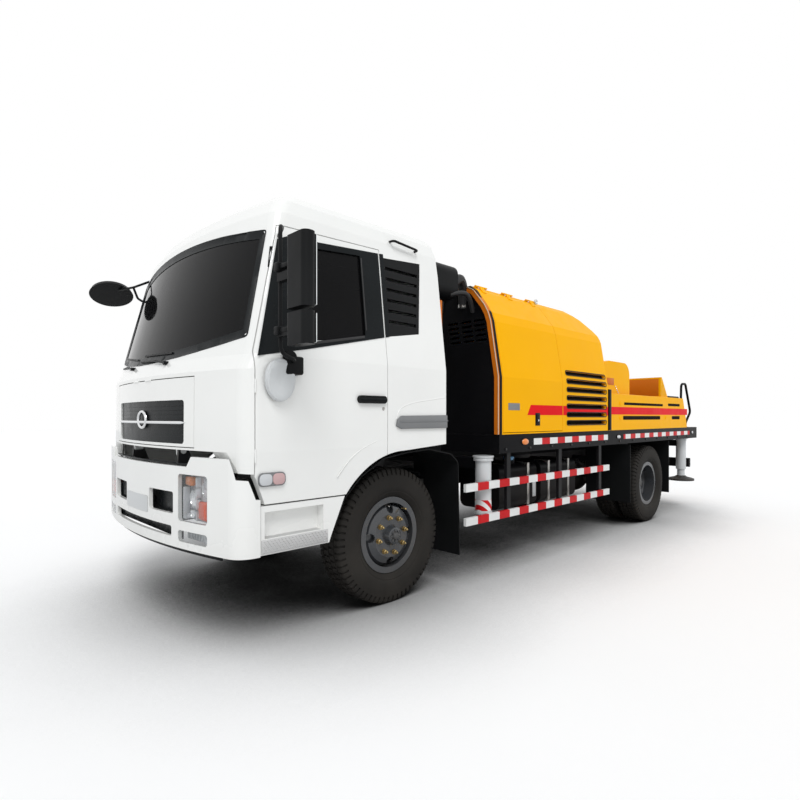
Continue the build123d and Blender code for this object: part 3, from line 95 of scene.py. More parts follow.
def wire(tree, made, inputs):
    """Link each input that is given as a socket, and set each that is given as a value."""
    for name, value in inputs.items():
        if isinstance(value, bpy.types.NodeSocket):
            tree.links.new(value, made.inputs[name])
        else:
            made.inputs[name].default_value = value
    return made


def node(tree, kind, inputs=None, **settings):
    """A new shader node with its settings and its inputs."""
    made = tree.nodes.new("ShaderNode" + kind)
    for name, value in settings.items():
        setattr(made, name, value)
    return wire(tree, made, inputs or {})


def reckon(tree, operation, *values):
    """The result of one sum on sockets and numbers."""
    return node(tree, "Math", dict(enumerate(values)), operation=operation).outputs[0]


world = bpy.data.worlds.new("overcast_yard")
bpy.context.scene.world = world
world.use_nodes = True
sky = world.node_tree
sky.nodes.clear()
seen = node(sky, "Background", {"Color": (1, 1, 1, 1), "Strength": 1.0})
lighting = node(sky, "Background", {"Color": (0.96, 0.98, 1, 1), "Strength": SKY_LIGHT})
path = node(sky, "LightPath").outputs
either = reckon(sky, "MAXIMUM", path["Is Camera Ray"], path["Is Glossy Ray"])
any_seen = reckon(sky, "MAXIMUM", either, path["Is Transmission Ray"])
blend = node(sky, "MixShader", {0: any_seen, 1: lighting.outputs[0], 2: seen.outputs[0]})
node(sky, "OutputWorld", {0: blend.outputs[0]})

sun_data = bpy.data.lights.new("soft_sun", "SUN")
sun_data.energy = SUN_LIGHT
sun_data.angle = SUN_SOFTNESS
sun = bpy.data.objects.new("soft_sun", sun_data)
sun.rotation_euler = SUN_TURN
bpy.context.scene.collection.objects.link(sun)

bpy.ops.object.select_all(action="DESELECT")
bpy.ops.mesh.primitive_circle_add(vertices=96, radius=FLOOR_RADIUS, fill_type="NGON")
floor = bpy.context.object
floor.name = "yard_floor"
print("sky", SKY_LIGHT, "sun", SUN_LIGHT)

# %% [markdown]
# ## Finishes
# Real paint is never one colour: it fades in broad clouds, its gloss changes from hand to hand, road dust
# gathers low down and edges rub through. One recipe builds all of that from noise in the object's own
# coordinates, so it stays on the piece when the piece moves. Each finish then only states its colours.


# %% The recipe for a finish
def new_shader(name):
    """A material with one principled shader, ready to be wired."""
    material = bpy.data.materials.new(name)
    material.use_nodes = True
    tree = material.node_tree
    tree.nodes.clear()
    shader = node(tree, "BsdfPrincipled")
    node(tree, "OutputMaterial", {"Surface": shader.outputs[0]})
    return material, tree, shader


def own_place(tree):
    """Where a point lies in its object's own coordinates."""
    return node(tree, "TexCoord").outputs["Object"]


def add_noise(tree, scale, detail=4.0, stretch=None):
    """Noise in object coordinates; stretch squeezes it along an axis."""
    source = own_place(tree)
    if stretch:
        source = node(tree, "Mapping", {"Scale": stretch, "Vector": source}).outputs["Vector"]
    return node(tree, "TexNoise", {"Scale": scale, "Detail": detail, "Vector": source}).outputs["Fac"]


def remap(tree, value, low, high, to_low, to_high):
    """A value carried over from one range to another."""
    ranges = {"From Min": low, "From Max": high, "To Min": to_low, "To Max": to_high}
    return node(tree, "MapRange", {"Value": value, **ranges}).outputs["Result"]


def clouds(tree, scale, detail=4.0, low=0.0, high=1.0):
    """Soft noise between two values."""
    return remap(tree, add_noise(tree, scale, detail), 0.3, 0.7, low, high)


def blend_colours(tree, share, first, second):
    """Mix two colours, given as RGB tuples or as sockets."""
    first, second = [(*colour, 1) if isinstance(colour, tuple) else colour for colour in (first, second)]
    return node(tree, "Mix", {"A": first, "B": second, "Factor": share}, data_type="RGBA").outputs["Result"]


def shade(colour, factor):
    """A darker or lighter colour."""
    return tuple(min(1.0, channel * factor) for channel in colour)


def add_relief(tree, strength, depth, height):
    """A bump from a height, as a normal for the shader."""
    inputs = {"Strength": strength, "Distance": depth, "Height": height}
    return node(tree, "Bump", inputs).outputs["Normal"]


def height_above(tree, low, high):
    """0 above the upper height and 1 below the lower one, broken up by noise."""
    place = node(tree, "SeparateXYZ", {0: own_place(tree)}).outputs
    near = remap(tree, place["Z"], low, high, 1.0, 0.0)
    patchy = remap(tree, add_noise(tree, 3.2, 6.0), 0.35, 0.65, 0.25, 1.0)
    return reckon(tree, "MULTIPLY", near, patchy)


def rubbed_edges(tree, width):
    """1 on an edge that is rubbed through, from the angle between the bevelled and the true normal."""
    rounded = node(tree, "Bevel", {"Radius": width}, samples=4).outputs[0]
    true = node(tree, "NewGeometry").outputs["Normal"]
    angle = node(tree, "VectorMath", {0: rounded, 1: true}, operation="DOT_PRODUCT").outputs["Value"]
    patchy = remap(tree, add_noise(tree, 26.0, 5.0), 0.48, 0.62, 0.0, 1.0)
    return reckon(tree, "MULTIPLY", remap(tree, angle, 0.99, 0.82, 0.0, 1.0), patchy)


def finish(name, colour, rough, metal=0.0, coat=0.0, fade=0.06, grain=220.0, bump=0.05, bump_depth=0.0004,
           dust=None, wear=None, brush=None, shine=0.5, sheen_colour=(1, 1, 1)):
    """A finish: faded colour, uneven gloss, fine grain, dust up to a height and rubbed edges."""
    material, tree, shader = new_shader(name)
    base = blend_colours(tree, clouds(tree, 1.7, 5.0), shade(colour, 1 - fade), shade(colour, 1 + fade))
    gloss = clouds(tree, 9.0, 6.0, max(0.02, rough - 0.05), rough + 0.07)
    if dust:
        dust_colour, low, high, strength = dust
        share = reckon(tree, "MULTIPLY", height_above(tree, low, high), strength)
        base = blend_colours(tree, share, base, dust_colour)
        gloss = remap(tree, share, 0.0, 1.0, rough, 0.9)
    if wear:
        base = blend_colours(tree, rubbed_edges(tree, 0.004), base, wear)
    wire(tree, shader, {
        "Base Color": base, "Roughness": gloss, "Metallic": metal, "Coat Weight": coat, "Coat Roughness": 0.04,
        "Specular IOR Level": shine, "Specular Tint": (*sheen_colour, 1),
        "Normal": add_relief(tree, bump, bump_depth, add_noise(tree, grain, 3.0, brush)),
    })
    return material


# %% [markdown]
# ## The truck's paints
# The cab is a glossy white lacquer and the pump a chrome yellow one. The chassis, deck and guards are
# black, dusty where the wheels throw dirt. Colours are written in linear values, as a shader reads them.

# %% Paints, plastics and metals
ROAD_DUST = (0.23, 0.19, 0.15)

# The white lacquer turns greyer towards the bottom, from 0.95 m down to 0.55 m.
white_paint = finish("white_lacquer", (0.90, 0.905, 0.885), 0.22, coat=0.7, fade=0.02, grain=420.0, bump=0.02,
                     dust=((0.52, 0.50, 0.46), 0.55, 0.95, 0.18))
yellow_paint = finish("chrome_yellow_lacquer", (1.0, 0.475, 0.002), 0.36, fade=0.02, grain=380.0, bump=0.02,
                      shine=0.05, sheen_colour=(1.0, 0.6, 0.1))
black_paint = finish("black_deck_paint", (0.006, 0.006, 0.007), 0.36, fade=0.3, bump=0.05, shine=0.06,
                     dust=(ROAD_DUST, 0.25, 0.95, 0.10), wear=(0.06, 0.06, 0.06))
chassis_paint = finish("chassis_enamel", (0.012, 0.012, 0.013), 0.48, fade=0.3, bump=0.12,
                       dust=(ROAD_DUST, 0.2, 1.0, 0.35), wear=(0.14, 0.12, 0.10))
wheel_paint = finish("wheel_enamel", (0.030, 0.035, 0.042), 0.24, coat=0.5, fade=0.25, bump=0.05,
                     dust=(ROAD_DUST, 0.1, 1.3, 0.16), wear=(0.16, 0.15, 0.14))
rubber = finish("tyre_rubber", (0.013, 0.012, 0.011), 0.75, fade=0.3, grain=160.0, bump=0.35,
                bump_depth=0.0012, dust=((0.052, 0.046, 0.039), 0.0, 1.5, 0.5), shine=0.2)
black_plastic = finish("grained_black_plastic", (0.009, 0.0095, 0.010), 0.40, fade=0.25, grain=520.0,
                       bump=0.15, shine=0.1)
gloss_black = finish("moulded_grille_black", (0.010, 0.012, 0.013), 0.26, fade=0.2, grain=300.0, bump=0.02,
                     shine=0.08)
cast_grey = finish("cast_iron_engine_grey", (0.085, 0.085, 0.085), 0.6, metal=0.3, fade=0.25, grain=140.0,
                   bump=0.4, bump_depth=0.001, wear=(0.3, 0.28, 0.26))
bare_steel = finish("worn_bare_steel", (0.40, 0.39, 0.37), 0.34, metal=0.95, fade=0.18, grain=90.0, bump=0.16,
                    brush=(1.0, 1.0, 14.0), wear=(0.62, 0.6, 0.58))
interior_plastic = finish("cab_trim_grey", (0.075, 0.077, 0.082), 0.62, fade=0.12, grain=480.0, bump=0.3)
jack_white = finish("jack_white_enamel", (0.62, 0.64, 0.65), 0.3, coat=0.4, fade=0.05,
                    dust=(ROAD_DUST, 0.3, 0.95, 0.25), wear=(0.3, 0.29, 0.28))
chrome = finish("bright_chrome", (0.78, 0.79, 0.80), 0.08, metal=1.0, fade=0.04, grain=260.0, bump=0.02)
aluminium = finish("tread_plate_aluminium", (0.62, 0.62, 0.62), 0.38, metal=0.9, fade=0.08, grain=200.0,
                   bump=0.08)
brass = finish("zinc_yellow_nuts", (0.42, 0.31, 0.14), 0.34, metal=0.9, fade=0.2, bump=0.1)
grey_trim = finish("moulded_grey_strip", (0.20, 0.205, 0.21), 0.45, fade=0.08, grain=500.0, bump=0.2)
red_paint = finish("signal_red_band", (0.80, 0.006, 0.012), 0.35, fade=0.05, shine=0.06,
                   sheen_colour=(1.0, 0.2, 0.2))
amber = finish("amber_lens", (0.85, 0.22, 0.01), 0.14, coat=0.8, fade=0.08)
red_lens = finish("red_lens", (0.52, 0.012, 0.008), 0.14, coat=0.8, fade=0.1)
clear_lens = finish("pale_lens", (0.62, 0.64, 0.66), 0.12, coat=1.0, fade=0.1, grain=60.0, bump=0.15)
# Dark orange: painted shade for yellow paint in shadow on the front flange, the column behind the cab and the hopper
# guard's face; the tank hatch uses it too.
orange_paint_and_painted_shade = finish("dark_orange_and_painted_shade", (0.62, 0.16, 0.008), 0.4, fade=0.08, shine=0.15)
rose_lens = finish("rose_lens", (0.62, 0.40, 0.40), 0.14, coat=0.8, fade=0.1)
sunset_lens = finish("red_orange_lens", (0.78, 0.075, 0.004), 0.16, coat=0.6, fade=0.12, grain=60.0, bump=0.2)
pale_blue = finish("pale_blue_cap", (0.16, 0.38, 0.62), 0.4, fade=0.1)
seat_cloth = finish("seat_cloth", (0.035, 0.037, 0.042), 0.88, fade=0.2, grain=900.0, bump=0.6,
                    bump_depth=0.0012)
pale_edge = finish("pale_edge_line", (0.60, 0.50, 0.36), 0.5, fade=0.2)
rubber_hose = finish("hose_rubber", (0.011, 0.011, 0.012), 0.5, fade=0.25, grain=420.0, bump=0.3)


def tinted_glass(name, tint, clarity):
    """Dark glass: mostly see-through, with faint dirt in its gloss."""
    material, tree, shader = new_shader(name)
    wire(tree, shader, {
        "Base Color": blend_colours(tree, clouds(tree, 2.4), shade(tint, 0.85), shade(tint, 1.15)),
        "Roughness": clouds(tree, 12.0, 6.0, 0.02, 0.08), "Transmission Weight": clarity,
        "Specular IOR Level": 0.12, "IOR": 1.2,
        "Normal": add_relief(tree, 0.015, 0.001, add_noise(tree, 5.0, 2.0)),
    })
    return material


window_glass = tinted_glass("tinted_window_glass", (0.012, 0.012, 0.013), 0.6)

BAND_RED = (0.62, 0.010, 0.014)
BAND_WHITE = (0.82, 0.83, 0.82)
GUARD_BANDS = 17
GUARD_INSIDE = 1.2106


def banded(name, pitch, start, slant=0.0, inside=None):
    """White and red bands along the truck, one pitch wide. Slant leans them; nearer the middle than inside
    the piece is black."""
    material, tree, shader = new_shader(name)
    place = node(tree, "SeparateXYZ", {0: own_place(tree)}).outputs
    leaning = reckon(tree, "MULTIPLY_ADD", place["Z"], slant, place["Y"])
    wrapped = reckon(tree, "FLOORED_MODULO", reckon(tree, "SUBTRACT", leaning, start), 2 * pitch)
    band = reckon(tree, "GREATER_THAN", wrapped, pitch)
    cloud = clouds(tree, 6.0, 5.0)
    pale = blend_colours(tree, cloud, shade(BAND_WHITE, 0.93), BAND_WHITE)
    deep = blend_colours(tree, cloud, shade(BAND_RED, 0.85), BAND_RED)
    base = blend_colours(tree, band, pale, deep)
    if inside:
        deep_in = reckon(tree, "LESS_THAN", reckon(tree, "ABSOLUTE", place["X"]), inside)
        base = blend_colours(tree, deep_in, base, (0.010, 0.010, 0.011))
    wire(tree, shader, {
        "Base Color": base, "Roughness": clouds(tree, 14.0, low=0.3, high=0.46), "Specular IOR Level": 0.15,
        "Normal": add_relief(tree, 0.05, 0.0004, add_noise(tree, 300.0)),
    })
    return material


guard_low, guard_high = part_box("side_guards")
guard_pitch = (guard_high.y - guard_low.y) / GUARD_BANDS
guard_bands = banded("guard_bands", guard_pitch, guard_low.y, inside=GUARD_INSIDE)
print("finishes", len(bpy.data.materials))

# %% [markdown]
# ## Painting the solids
# Every solid came with a plain named material. Each gets one of the finishes above, by the slot that its
# record names. The floor is nearly white, with a painted shadow: its colour and its glow darken to nearly
# black where an ambient-occlusion reading finds the truck close above it.

# %% Give each solid its finish
SLOT_FINISH = {
    "white_paint": white_paint, "yellow_paint": yellow_paint, "black_paint": black_paint,
    "chassis_paint": chassis_paint, "wheel_paint": wheel_paint, "tyre_rubber": rubber,
    "window_glass": window_glass, "lamp_glass": clear_lens, "black_plastic": black_plastic,
    "grille_black": gloss_black, "cast_grey": cast_grey, "bright_steel": bare_steel,
    "guard_paint": guard_bands, "interior_plastic": interior_plastic, "lamp_red": red_lens,
    "jack_white": jack_white, "grate_paint": black_paint,
}
for part in frame["record"]["subparts"]:
    solid = nodes[part["node"]]
    for material_slot in solid.material_slots:
        material_slot.material = SLOT_FINISH[part["material_slot"]]
    if not solid.material_slots:
        solid.data.materials.append(SLOT_FINISH[part["material_slot"]])

# Painted shadow: the ambient-occlusion reading darkens the floor's colour and takes away its glow under the truck.
SHADOW_REACH = 1.7
floor_finish, floor_tree, floor_shader = new_shader("pale_floor_with_painted_shadow")
openness = node(floor_tree, "AmbientOcclusion", {"Distance": SHADOW_REACH}, samples=16).outputs["AO"]
clear_of_painted_shadow = remap(floor_tree, openness, 0.25, 0.95, 0.0, 1.0)
pale_floor = blend_colours(floor_tree, clouds(floor_tree, 0.4, 5.0), (0.80, 0.80, 0.80), (0.82, 0.82, 0.82))
seen_by = node(floor_tree, "LightPath").outputs
camera_glow_clear_of_painted_shadow = reckon(floor_tree, "MULTIPLY", seen_by["Is Camera Ray"], clear_of_painted_shadow)
wire(floor_tree, floor_shader, {
    "Base Color": blend_colours(floor_tree, clear_of_painted_shadow, (0.02, 0.02, 0.02), pale_floor),
    "Roughness": 0.9, "Specular IOR Level": 0.1, "Emission Color": (1, 1, 1, 1),
    "Emission Strength": reckon(floor_tree, "MULTIPLY", camera_glow_clear_of_painted_shadow, FLOOR_GLOW),
})
floor.data.materials.append(floor_finish)

# %% [markdown]
# ## Shaping by hand
# The fine pieces are all made the same few ways, so the moves get names: a block with eased edges, a profile
# spun round its axis, a wire thickened into a bar, a flat sheet laid on a panel. Each starts from a primitive
# and is worked in edit mode. Everything is deselected first, because an operator acts on all that is
# selected. Places are often read as a distance along the truck from its front axle, which stands at AXLE_Y.


# %% Helpers for shaping
AXLE_Y = -2.7
SAME_PLACE = 0.0001
SMOOTH_BELOW = radians(32)


def begin():
    """Object mode with nothing selected."""
    if bpy.context.object and bpy.context.object.mode != "OBJECT":
        leave()
    bpy.ops.object.select_all(action="DESELECT")


def pick(piece):
    """Only this piece selected and active."""
    begin()
    piece.select_set(True)
    bpy.context.view_layer.objects.active = piece


def edit(piece):
    """Edit mode on a piece with all its points selected."""
    pick(piece)
    bpy.ops.object.mode_set(mode="EDIT")
    bpy.ops.mesh.select_mode(type="VERT")
    bpy.ops.mesh.select_all(action="SELECT")


def leave():
    """Back to object mode."""
    bpy.ops.object.mode_set(mode="OBJECT")


def apply_place():
    """Write the place, turn and size of what is selected into its mesh."""
    bpy.ops.object.transform_apply(location=True, rotation=True, scale=True)


def face_out():
    """Turn all faces of the piece being edited outwards."""
    bpy.ops.mesh.select_all(action="SELECT")
    bpy.ops.mesh.normals_make_consistent(inside=False)


def stretch(piece, value, centre):
    """Stretch a piece about a centre."""
    edit(piece)
    bpy.ops.transform.resize(value=value, center_override=centre)
    leave()
    return piece


def draw_out(piece, way, edge=0.0, segments=2):
    """Extrude a traced line or face, and ease its edges."""
    edit(piece)
    bpy.ops.mesh.extrude_region_move(TRANSFORM_OT_translate={"value": way})
    face_out()
    if edge:
        bpy.ops.mesh.bevel(offset=edge, segments=segments, affect="EDGES")
    leave()
    return piece


def inset_faces(piece, chosen, thickness, depth=0.0):
    """Inset the faces whose normal is chosen."""
    edit(piece)
    bpy.ops.mesh.select_mode(type="FACE")
    bpy.ops.mesh.select_all(action="DESELECT")
    for face in bmesh.from_edit_mesh(piece.data).faces:
        face.select_set(chosen(face.normal))
    bpy.ops.mesh.inset(thickness=thickness, depth=depth)
    leave()
    return piece


def settle(piece, name, material, body="chassis"):
    """Write the place into the mesh, smooth and paint the piece, and tie it to its body."""
    pick(piece)
    apply_place()
    bpy.ops.object.shade_smooth_by_angle(angle=SMOOTH_BELOW)
    piece.name = piece.data.name = name
    piece.data.materials.clear()
    piece.data.materials.append(material)
    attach(piece, body)
    return piece


def both_sides(piece, name, material, body="chassis"):
    """Settle a left-hand piece and its mirrored twin; doors of both kinds come as a left and a right one."""
    twin = mirrored(piece)
    for made, side in ((piece, "left"), (twin, "right")):
        settle(made, f"{name}_{side}", material, f"{side}_{body}" if body.endswith("door") else body)


def block(low, high, edge=0.003, segments=2):
    """A box between two corners with eased edges."""
    begin()
    bpy.ops.mesh.primitive_cube_add(size=1, location=[(a + b) / 2 for a, b in zip(low, high)])
    piece = bpy.context.object
    piece.scale = [b - a for a, b in zip(low, high)]
    apply_place()
    edit(piece)
    bpy.ops.mesh.bevel(offset=edge, segments=segments, affect="EDGES")
    leave()
    return piece


def trace(points, filled=False):
    """One vertex drawn out from point to point; filled closes the line into a face."""
    begin()
    bpy.ops.mesh.primitive_plane_add(size=0.01, location=points[0])
    piece = bpy.context.object
    apply_place()
    edit(piece)
    bpy.ops.mesh.merge(type="CENTER")
    for here, there in zip(points, points[1:]):
        step = Vector(there) - Vector(here)
        bpy.ops.mesh.extrude_region_move(TRANSFORM_OT_translate={"value": step})
    if filled:
        bpy.ops.mesh.select_all(action="SELECT")
        bpy.ops.mesh.edge_face_add()
    leave()
    return piece


WAYS = {
    "+X": (Vector((1, 0, 0)), Vector((0, 0, 1))), "-X": (Vector((-1, 0, 0)), Vector((0, 0, 1))),
    "+Y": (Vector((0, 1, 0)), Vector((0, 0, 1))), "-Y": (Vector((0, -1, 0)), Vector((0, 0, 1))),
    "+Z": (Vector((0, 0, 1)), Vector((1, 0, 0))),
}


def turned(profile, place, way="+X", steps=32):
    """A profile of (along, radius) points spun once round its axis, as on a lathe."""
    along, out = WAYS[way]
    piece = trace([Vector(place) + along * run + out * radius for run, radius in profile])
    edit(piece)
    bpy.ops.mesh.spin(steps=steps, angle=2 * pi, center=place, axis=along)
    bpy.ops.mesh.select_all(action="SELECT")
    bpy.ops.mesh.remove_doubles(threshold=SAME_PLACE)
    face_out()
    leave()
    return piece


def pipe(points, radius, order=3):
    """A wire through points, smoothed as a curve and thickened into a round bar."""
    pick(trace(points))
    bpy.ops.object.convert(target="CURVE")
    piece = bpy.context.object
    for spline in piece.data.splines:
        spline.type = "NURBS"
        spline.order_u = order
        spline.use_endpoint_u = True
    piece.data.resolution_u = 6
    piece.data.bevel_depth = radius
    piece.data.bevel_resolution = 3
    piece.data.use_fill_caps = True
    pick(piece)
    bpy.ops.object.convert(target="MESH")
    piece = bpy.context.object
    edit(piece)
    bpy.ops.mesh.remove_doubles(threshold=SAME_PLACE)
    face_out()
    leave()
    return piece


def finish_with(piece, kind, **settings):
    """Add one modifier, set it and apply it."""
    pick(piece)
    modifier = piece.modifiers.new(kind.lower(), kind)
    for key, value in settings.items():
        setattr(modifier, key, value)
    bpy.ops.object.modifier_apply(modifier=modifier.name)
    return piece


def eased(piece, edge):
    """Ease the sharp edges of a thin piece."""
    return finish_with(piece, "BEVEL", width=edge, segments=2, limit_method="ANGLE", angle_limit=radians(50))


def shifted(piece, shift):
    """A copy of a piece with its own mesh, moved."""
    pick(piece)
    bpy.ops.object.duplicate()
    twin = bpy.context.object
    edit(twin)
    bpy.ops.transform.translate(value=shift)
    leave()
    return twin


def mirrored(piece):
    """A copy for the truck's other side, with its faces turned the right way round again."""
    pick(piece)
    bpy.ops.object.duplicate()
    twin = bpy.context.object
    bpy.ops.transform.mirror(constraint_axis=(True, False, False), center_override=(0, 0, 0))
    apply_place()
    edit(twin)
    face_out()
    leave()
    return twin


def joined(pieces):
    """Several pieces made one."""
    begin()
    for piece in pieces:
        piece.select_set(True)
    bpy.context.view_layer.objects.active = pieces[0]
    if len(pieces) > 1:
        bpy.ops.object.join()
    return bpy.context.object


def repeated(piece, shifts):
    """Copies of a piece at each shift as one piece; the pattern itself is thrown away."""
    copies = [shifted(piece, shift) for shift in shifts]
    bpy.data.objects.remove(piece)
    return joined(copies)


def skin_of(*names):
    """A merged copy of some solids to lay thin pieces on; it is thrown away at the end."""
    begin()
    copies = []
    for name in names:
        twin = nodes[name].copy()
        twin.data = nodes[name].data.copy()
        bpy.context.scene.collection.objects.link(twin)
        copies.append(twin)
    skin = joined(copies)
    skin.name = "skin_" + names[0]
    edit(skin)
    bpy.ops.mesh.remove_doubles(threshold=SAME_PLACE)
    leave()
    return skin


def slice_up(piece, outline, spacing):
    """Cut a flat piece across each axis, finely enough to follow a curved panel."""
    edit(piece)
    for axis in range(3):
        values = [point[axis] for point in outline]
        low, high = min(values), max(values)
        slices = int((high - low) / spacing)
        for number in range(slices):
            spot, normal = [0.0, 0.0, 0.0], [0.0, 0.0, 0.0]
            spot[axis] = low + (high - low) * (number + 1) / (slices + 1)
            normal[axis] = 1.0
            bpy.ops.mesh.select_all(action="SELECT")
            bpy.ops.mesh.bisect(plane_co=spot, plane_no=normal)
    leave()
    return piece


def sheet(outline, spacing=0.06):
    """A flat face cut to an outline and sliced."""
    return slice_up(trace(outline, filled=True), outline, spacing)


def ring_sheet(outline, width, spacing=0.05):
    """The rim of a flat outline, cut free by an inset and sliced."""
    piece = trace(outline, filled=True)
    edit(piece)
    bpy.ops.mesh.select_mode(type="FACE")
    bpy.ops.mesh.select_all(action="SELECT")
    bpy.ops.mesh.inset(thickness=width)
    bpy.ops.mesh.delete(type="FACE")
    return slice_up(piece, outline, spacing)


def flip_if(piece, outwards):
    """Turn an open sheet over if its faces look away from a direction."""
    if sum(face.normal.dot(outwards) for face in piece.data.polygons) < 0:
        edit(piece)
        bpy.ops.mesh.flip_normals()
        leave()


def lay(piece, skin, axis, lift=0.0015, thick=0.003, edge=0.0):
    """Push a flat piece onto a skin, from the left along X or from ahead along Y. Lift it off a little and
    thicken it outwards."""
    ahead = axis == "Y"
    finish_with(piece, "SHRINKWRAP", wrap_method="PROJECT", target=skin, wrap_mode="ON_SURFACE", offset=0.0,
                use_project_x=not ahead, use_project_y=ahead, use_project_z=False,
                use_positive_direction=ahead, use_negative_direction=not ahead)
    outwards = Vector((0, -1, 0)) if ahead else Vector((1, 0, 0))
    edit(piece)
    bpy.ops.transform.translate(value=outwards * lift)
    face_out()
    leave()
    flip_if(piece, outwards)
    finish_with(piece, "SOLIDIFY", thickness=thick, offset=1.0)
    return eased(piece, edge) if edge else piece


def at(across, along, height):
    """A place given along the truck from its front axle."""
    return across, along + AXLE_Y, height


def side_points(points, x=1.45):
    """Outline points given as (along, height), at one distance out."""
    return [at(x, along, height) for along, height in points]


def front_points(points, y=-4.6):
    """Outline points given as (across, height), ahead of the truck."""
    return [(across, y, height) for across, height in points]


print("helpers ready")

# %% [markdown]
# ## Tyres
# The truck stands on six tyres of one size with lug treads. The section is spun in many short steps, so that
# single faces of the tread can be picked by their angle and sunk: every third step on the shoulders, and the
# step after it on the middle ribs. The long grooves round the tyre are in the section itself.

# %% One tyre, then its copies
TYRE_PITCH = 64
TYRE_STEPS = 3 * TYRE_PITCH
TREAD_SINK = 0.010
TREAD_ROOT, TREAD_TOP = 0.47, 0.509
SHOULDER = 0.069
RIB = (0.005, 0.055)
half_section = [
    (0.000, 0.503), (0.003, 0.503), (0.005, 0.515), (0.030, 0.515), (0.055, 0.515), (0.058, 0.504),
    (0.066, 0.504), (0.069, 0.515), (0.090, 0.514), (0.105, 0.511), (0.114, 0.503), (0.119, 0.486),
    (0.126, 0.462), (0.132, 0.432), (0.135, 0.400), (0.134, 0.368), (0.130, 0.344), (0.125, 0.338),
    (0.125, 0.330), (0.117, 0.318), (0.106, 0.303), (0.099, 0.296), (0.086, 0.294), (0.085, 0.262),
]
section = [(-run, radius) for run, radius in half_section[::-1]] + half_section[1:] + [(-0.085, 0.262)]
FRONT_WHEEL = Vector((0.940, AXLE_Y, 0.515))
REAR_OUTER = Vector((1.060, 2.0, 0.515))
REAR_INNER = Vector((0.750, 2.0, 0.515))

tyre = turned(section, FRONT_WHEEL, "+X", TYRE_STEPS)
edit(tyre)
bpy.ops.mesh.select_mode(type="FACE")
bpy.ops.mesh.select_all(action="DESELECT")
shape = bmesh.from_edit_mesh(tyre.data)
for face in shape.faces:
    middle = face.calc_center_median() - FRONT_WHEEL
    radius = hypot(middle.y, middle.z)
    step = int((atan2(middle.z, middle.y) + pi) / (2 * pi) * TYRE_STEPS)
    across = abs(middle.x)
    on_shoulder = across > SHOULDER and step % 3 == 0
    on_rib = RIB[0] < across < RIB[1] and step % 3 == (1 if middle.x > 0 else 2)
    if radius > TREAD_ROOT and (on_shoulder or on_rib):
        face.select_set(radius > TREAD_TOP or across > SHOULDER)
bmesh.update_edit_mesh(tyre.data)
bpy.ops.mesh.extrude_region_shrink_fatten(TRANSFORM_OT_shrink_fatten={"value": -TREAD_SINK})
leave()
reach = max((vertex.co - FRONT_WHEEL).length for vertex in tyre.data.vertices)
print("tyre faces", len(tyre.data.polygons), "reach", reach)

front_right_tyre = shifted(tyre, (-2 * FRONT_WHEEL.x, 0, 0))
rear_tyres = {}
for side, sign in (("left", 1), ("right", -1)):
    places = [Vector((sign * wheel.x, wheel.y, wheel.z)) for wheel in (REAR_OUTER, REAR_INNER)]
    rear_tyres[side] = joined([shifted(tyre, place - FRONT_WHEEL) for place in places])
for piece, name, body in ((tyre, "treaded_tyre_front_left", "front_left_wheel"),
                          (front_right_tyre, "treaded_tyre_front_right", "front_right_wheel"),
                          (rear_tyres["left"], "treaded_tyres_rear_left", "rear_left_wheels"),
                          (rear_tyres["right"], "treaded_tyres_rear_right", "rear_right_wheels")):
    settle(piece, name, rubber, body)
    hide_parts(name.replace("treaded_", ""))
print("tyres", 6)

# %% [markdown]
# ## Wheel nuts
# Eight nuts hold each wheel, plated a warm yellow, each with the end of its stud showing. One nut is spun in
# six steps, which makes it a hexagon, and its stud in more. Copies go round the circle of holes. The hubs get
# their own ring of small screws and a grease cap.

# %% Nuts, studs, hub screws and valves
NUT_CIRCLE = 0.137
NUTS = 8


def ring_of(piece, radius, count, turn=0.0):
    """Copies of a piece modelled at a wheel's centre, spread on a circle in the wheel's plane."""
    angles = [turn + 2 * pi * number / count for number in range(count)]
    return repeated(piece, [(0, radius * cos(angle), radius * sin(angle)) for angle in angles])


def wheel_fittings(side, axle, face, hub_end, hub_radius, name, body):
    """Nuts with studs on the wheel's face, and screws with a grease cap on the hub's end."""
    way = "+X" if side > 0 else "-X"
    seat = (side * face, axle.y, axle.z)
    nut = turned([(0.0, 0.0), (0.0, 0.021), (0.004, 0.021), (0.004, 0.0175), (0.022, 0.0175), (0.026, 0.013),
                  (0.026, 0.0)], seat, way, 6)
    stud = turned([(0.024, 0.0), (0.024, 0.009), (0.040, 0.009), (0.043, 0.006), (0.043, 0.0)], seat, way, 12)
    nuts = ring_of(joined([nut, stud]), NUT_CIRCLE, NUTS, 0.2)
    settle(nuts, "nuts_" + name, brass, body)
    end = (side * hub_end, axle.y, axle.z)
    screw = turned([(-0.002, 0.0), (-0.002, 0.009), (0.006, 0.009), (0.009, 0.006), (0.009, 0.0)], end, way, 6)
    screws = ring_of(screw, hub_radius * 0.8, 8)
    cap_section = ((-0.003, 0.0), (-0.003, 0.62), (0.006, 0.60), (0.016, 0.5), (0.021, 0.3), (0.022, 0.0))
    cap = turned([(run, hub_radius * share) for run, share in cap_section], end, way, 32)
    settle(joined([screws, cap]), "hub_screws_" + name, cast_grey, body)
    valve = turned([(0.0, 0.0), (0.0, 0.006), (0.03, 0.006), (0.032, 0.008), (0.048, 0.008), (0.050, 0.006),
                    (0.050, 0.0)], (side * (face - 0.01), axle.y + 0.12, axle.z + 0.19), way, 12)
    settle(valve, "valve_" + name, brass, body)


for side, word in ((1, "left"), (-1, "right")):
    wheel_fittings(side, FRONT_WHEEL, 1.050, 1.096, 0.050, "front_" + word, "front_" + word + "_wheel")
    wheel_fittings(side, REAR_OUTER, 0.905, 1.055, 0.090, "rear_" + word, "rear_" + word + "_wheels")
print("wheels fitted out", 4)

